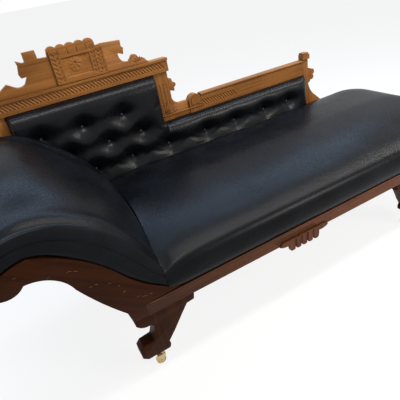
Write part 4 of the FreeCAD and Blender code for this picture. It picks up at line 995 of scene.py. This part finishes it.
def add_softbox(name, place, target, size, power, tint):
    """Rectangular lamp that faces its target."""
    data = bpy.data.lights.new(name, "AREA")
    data.shape = "RECTANGLE"
    data.size, data.size_y = size
    data.energy = power
    data.color = tint
    lamp = bpy.data.objects.new(name, data)
    bpy.context.scene.collection.objects.link(lamp)
    lamp.location = place
    away = lamp.location - Matrix.Translation(target).to_translation()
    lamp.rotation_euler = away.to_track_quat("Z", "Y").to_euler()


def seen_directly(tree):
    """1 on rays from the camera, off a gloss or through glass, and 0 on all others."""
    path = add_node(tree, "LightPath")
    mirrored = add_node(tree, "Math", {0: path["Is Glossy Ray"], 1: path["Is Transmission Ray"]},
                        operation="MAXIMUM")
    return add_node(tree, "Math", {0: path["Is Camera Ray"], 1: mirrored[0]}, operation="MAXIMUM")[0]


def add_floor(tint):
    """Wide pale floor that glows where it is seen, so that it runs into the room's white."""
    mesh = bpy.data.meshes.new("floor")
    corners = [(x * FLOOR_HALF, y * FLOOR_HALF, 0) for x, y in ((-1, -1), (1, -1), (1, 1), (-1, 1))]
    mesh.from_pydata(corners, [], [(0, 1, 2, 3)])
    floor = bpy.data.objects.new("floor", mesh)
    bpy.context.scene.collection.objects.link(floor)
    made = bpy.data.materials.new("painted_floor")
    tree = emptied(made)
    paint = add_node(tree, "BsdfDiffuse", {"Color": (*tint, 1.0)})
    glow = add_node(tree, "Emission", {"Color": WHITE, "Strength": 1.0})
    share = add_node(tree, "Math", {0: seen_directly(tree), 1: FLOOR_GLOW}, operation="MULTIPLY")
    mixed = add_node(tree, "MixShader", {0: share[0], 1: paint[0], 2: glow[0]})
    add_node(tree, "OutputMaterial", {"Surface": mixed[0]})
    mesh.materials.append(made)


def add_room():
    """Dim room that looks white where it is seen."""
    bpy.context.scene.world = bpy.data.worlds.new("room")
    tree = emptied(bpy.context.scene.world)
    dim = add_node(tree, "Background", {"Color": ROOM_TINT, "Strength": ROOM_LIGHT})
    white = add_node(tree, "Background", {"Color": WHITE, "Strength": 1.0})
    mixed = add_node(tree, "MixShader", {0: seen_directly(tree), 1: dim[0], 2: white[0]})
    add_node(tree, "OutputWorld", {"Surface": mixed[0]})


def add_stage(context):
    """Pale floor, dim room, soft lamps and the camera."""
    context.scene.view_settings.view_transform = "Standard"
    add_floor(tuple(context.scene.couch_colours.floor))
    add_room()
    for lamp in LAMPS:
        add_softbox(*lamp)
    add_camera()


# Operators

class CouchStage(bpy.types.Operator):
    """Set the floor, the lamps, the room and the camera"""
    bl_idname = "couch.stage"
    bl_label = "Stage"

    def execute(self, context):
        add_stage(context)
        return {"FINISHED"}


class CouchFinishes(bpy.types.Operator):
    """Make the leather, oak, metal and cloth finishes"""
    bl_idname = "couch.finishes"
    bl_label = "Finishes"

    def execute(self, context):
        make_materials(context)
        return {"FINISHED"}


class CouchSeat(bpy.types.Operator):
    """Make the leather seat"""
    bl_idname = "couch.seat"
    bl_label = "Seat Leather"

    def execute(self, context):
        leather_seat(context)
        return {"FINISHED"}


class CouchHead(bpy.types.Operator):
    """Make the leather head cushion"""
    bl_idname = "couch.head"
    bl_label = "Head Leather"

    def execute(self, context):
        leather_head(context)
        return {"FINISHED"}


class CouchBack(bpy.types.Operator):
    """Make the tufted back pad and its buttons"""
    bl_idname = "couch.back"
    bl_label = "Tufted Back"

    def execute(self, context):
        leather_back(context)
        leather_buttons(context)
        return {"FINISHED"}


class CouchBoards(bpy.types.Operator):
    """Ease the edges of the sawn boards, carve the crest's panel and the fans"""
    bl_idname = "couch.boards"
    bl_label = "Oak Boards"

    def execute(self, context):
        sizes = context.scene.couch_sizes
        for boards, width in ((CARVED_BOARDS, sizes.carving_ease), (SAWN_BOARDS, sizes.board_ease)):
            for node, finish in boards.items():
                eased_copy(node, finish, width)
        carved_panel()
        carved_fans()
        return {"FINISHED"}


class CouchFittings(bpy.types.Operator):
    """Finish the casters, the springs, the straps and the plain inner pieces"""
    bl_idname = "couch.fittings"
    bl_label = "Casters and Inner Pieces"

    def execute(self, context):
        for node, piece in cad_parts.items():
            finish = "aged_brass" if node.startswith("caster") else CAD_FINISHES.get(node)
            if finish:
                piece.data.materials.clear()
                piece.data.materials.append(material(finish))
        return {"FINISHED"}


OPERATORS = (CouchStage, CouchFinishes, CouchSeat, CouchHead, CouchBack, CouchBoards, CouchFittings)


class CouchPanel(bpy.types.Panel):
    """Pieces and sizes of the couch"""
    bl_idname = "COUCH_PT_pieces"
    bl_label = "Fainting Couch"
    bl_space_type = "VIEW_3D"
    bl_region_type = "UI"
    bl_category = "Couch"

    def draw(self, context):
        for operator in OPERATORS:
            self.layout.operator(operator.bl_idname)
        for group in (context.scene.couch_sizes, context.scene.couch_colours):
            for key in type(group).__annotations__:
                self.layout.prop(group, key)


CLASSES = (CouchColours, CouchSizes, *OPERATORS, CouchPanel)


def register():
    for item in CLASSES:
        bpy.utils.register_class(item)
    bpy.types.Scene.couch_colours = PointerProperty(type=CouchColours)
    bpy.types.Scene.couch_sizes = PointerProperty(type=CouchSizes)


def unregister():
    del bpy.types.Scene.couch_sizes
    del bpy.types.Scene.couch_colours
    for item in reversed(CLASSES):
        bpy.utils.unregister_class(item)


def main():
    register()
    bpy.ops.couch.finishes()
    bpy.ops.couch.stage()
    bpy.ops.couch.seat()
    bpy.ops.couch.head()
    bpy.ops.couch.back()
    bpy.ops.couch.boards()
    bpy.ops.couch.fittings()


if __name__ == "__main__":
    main()
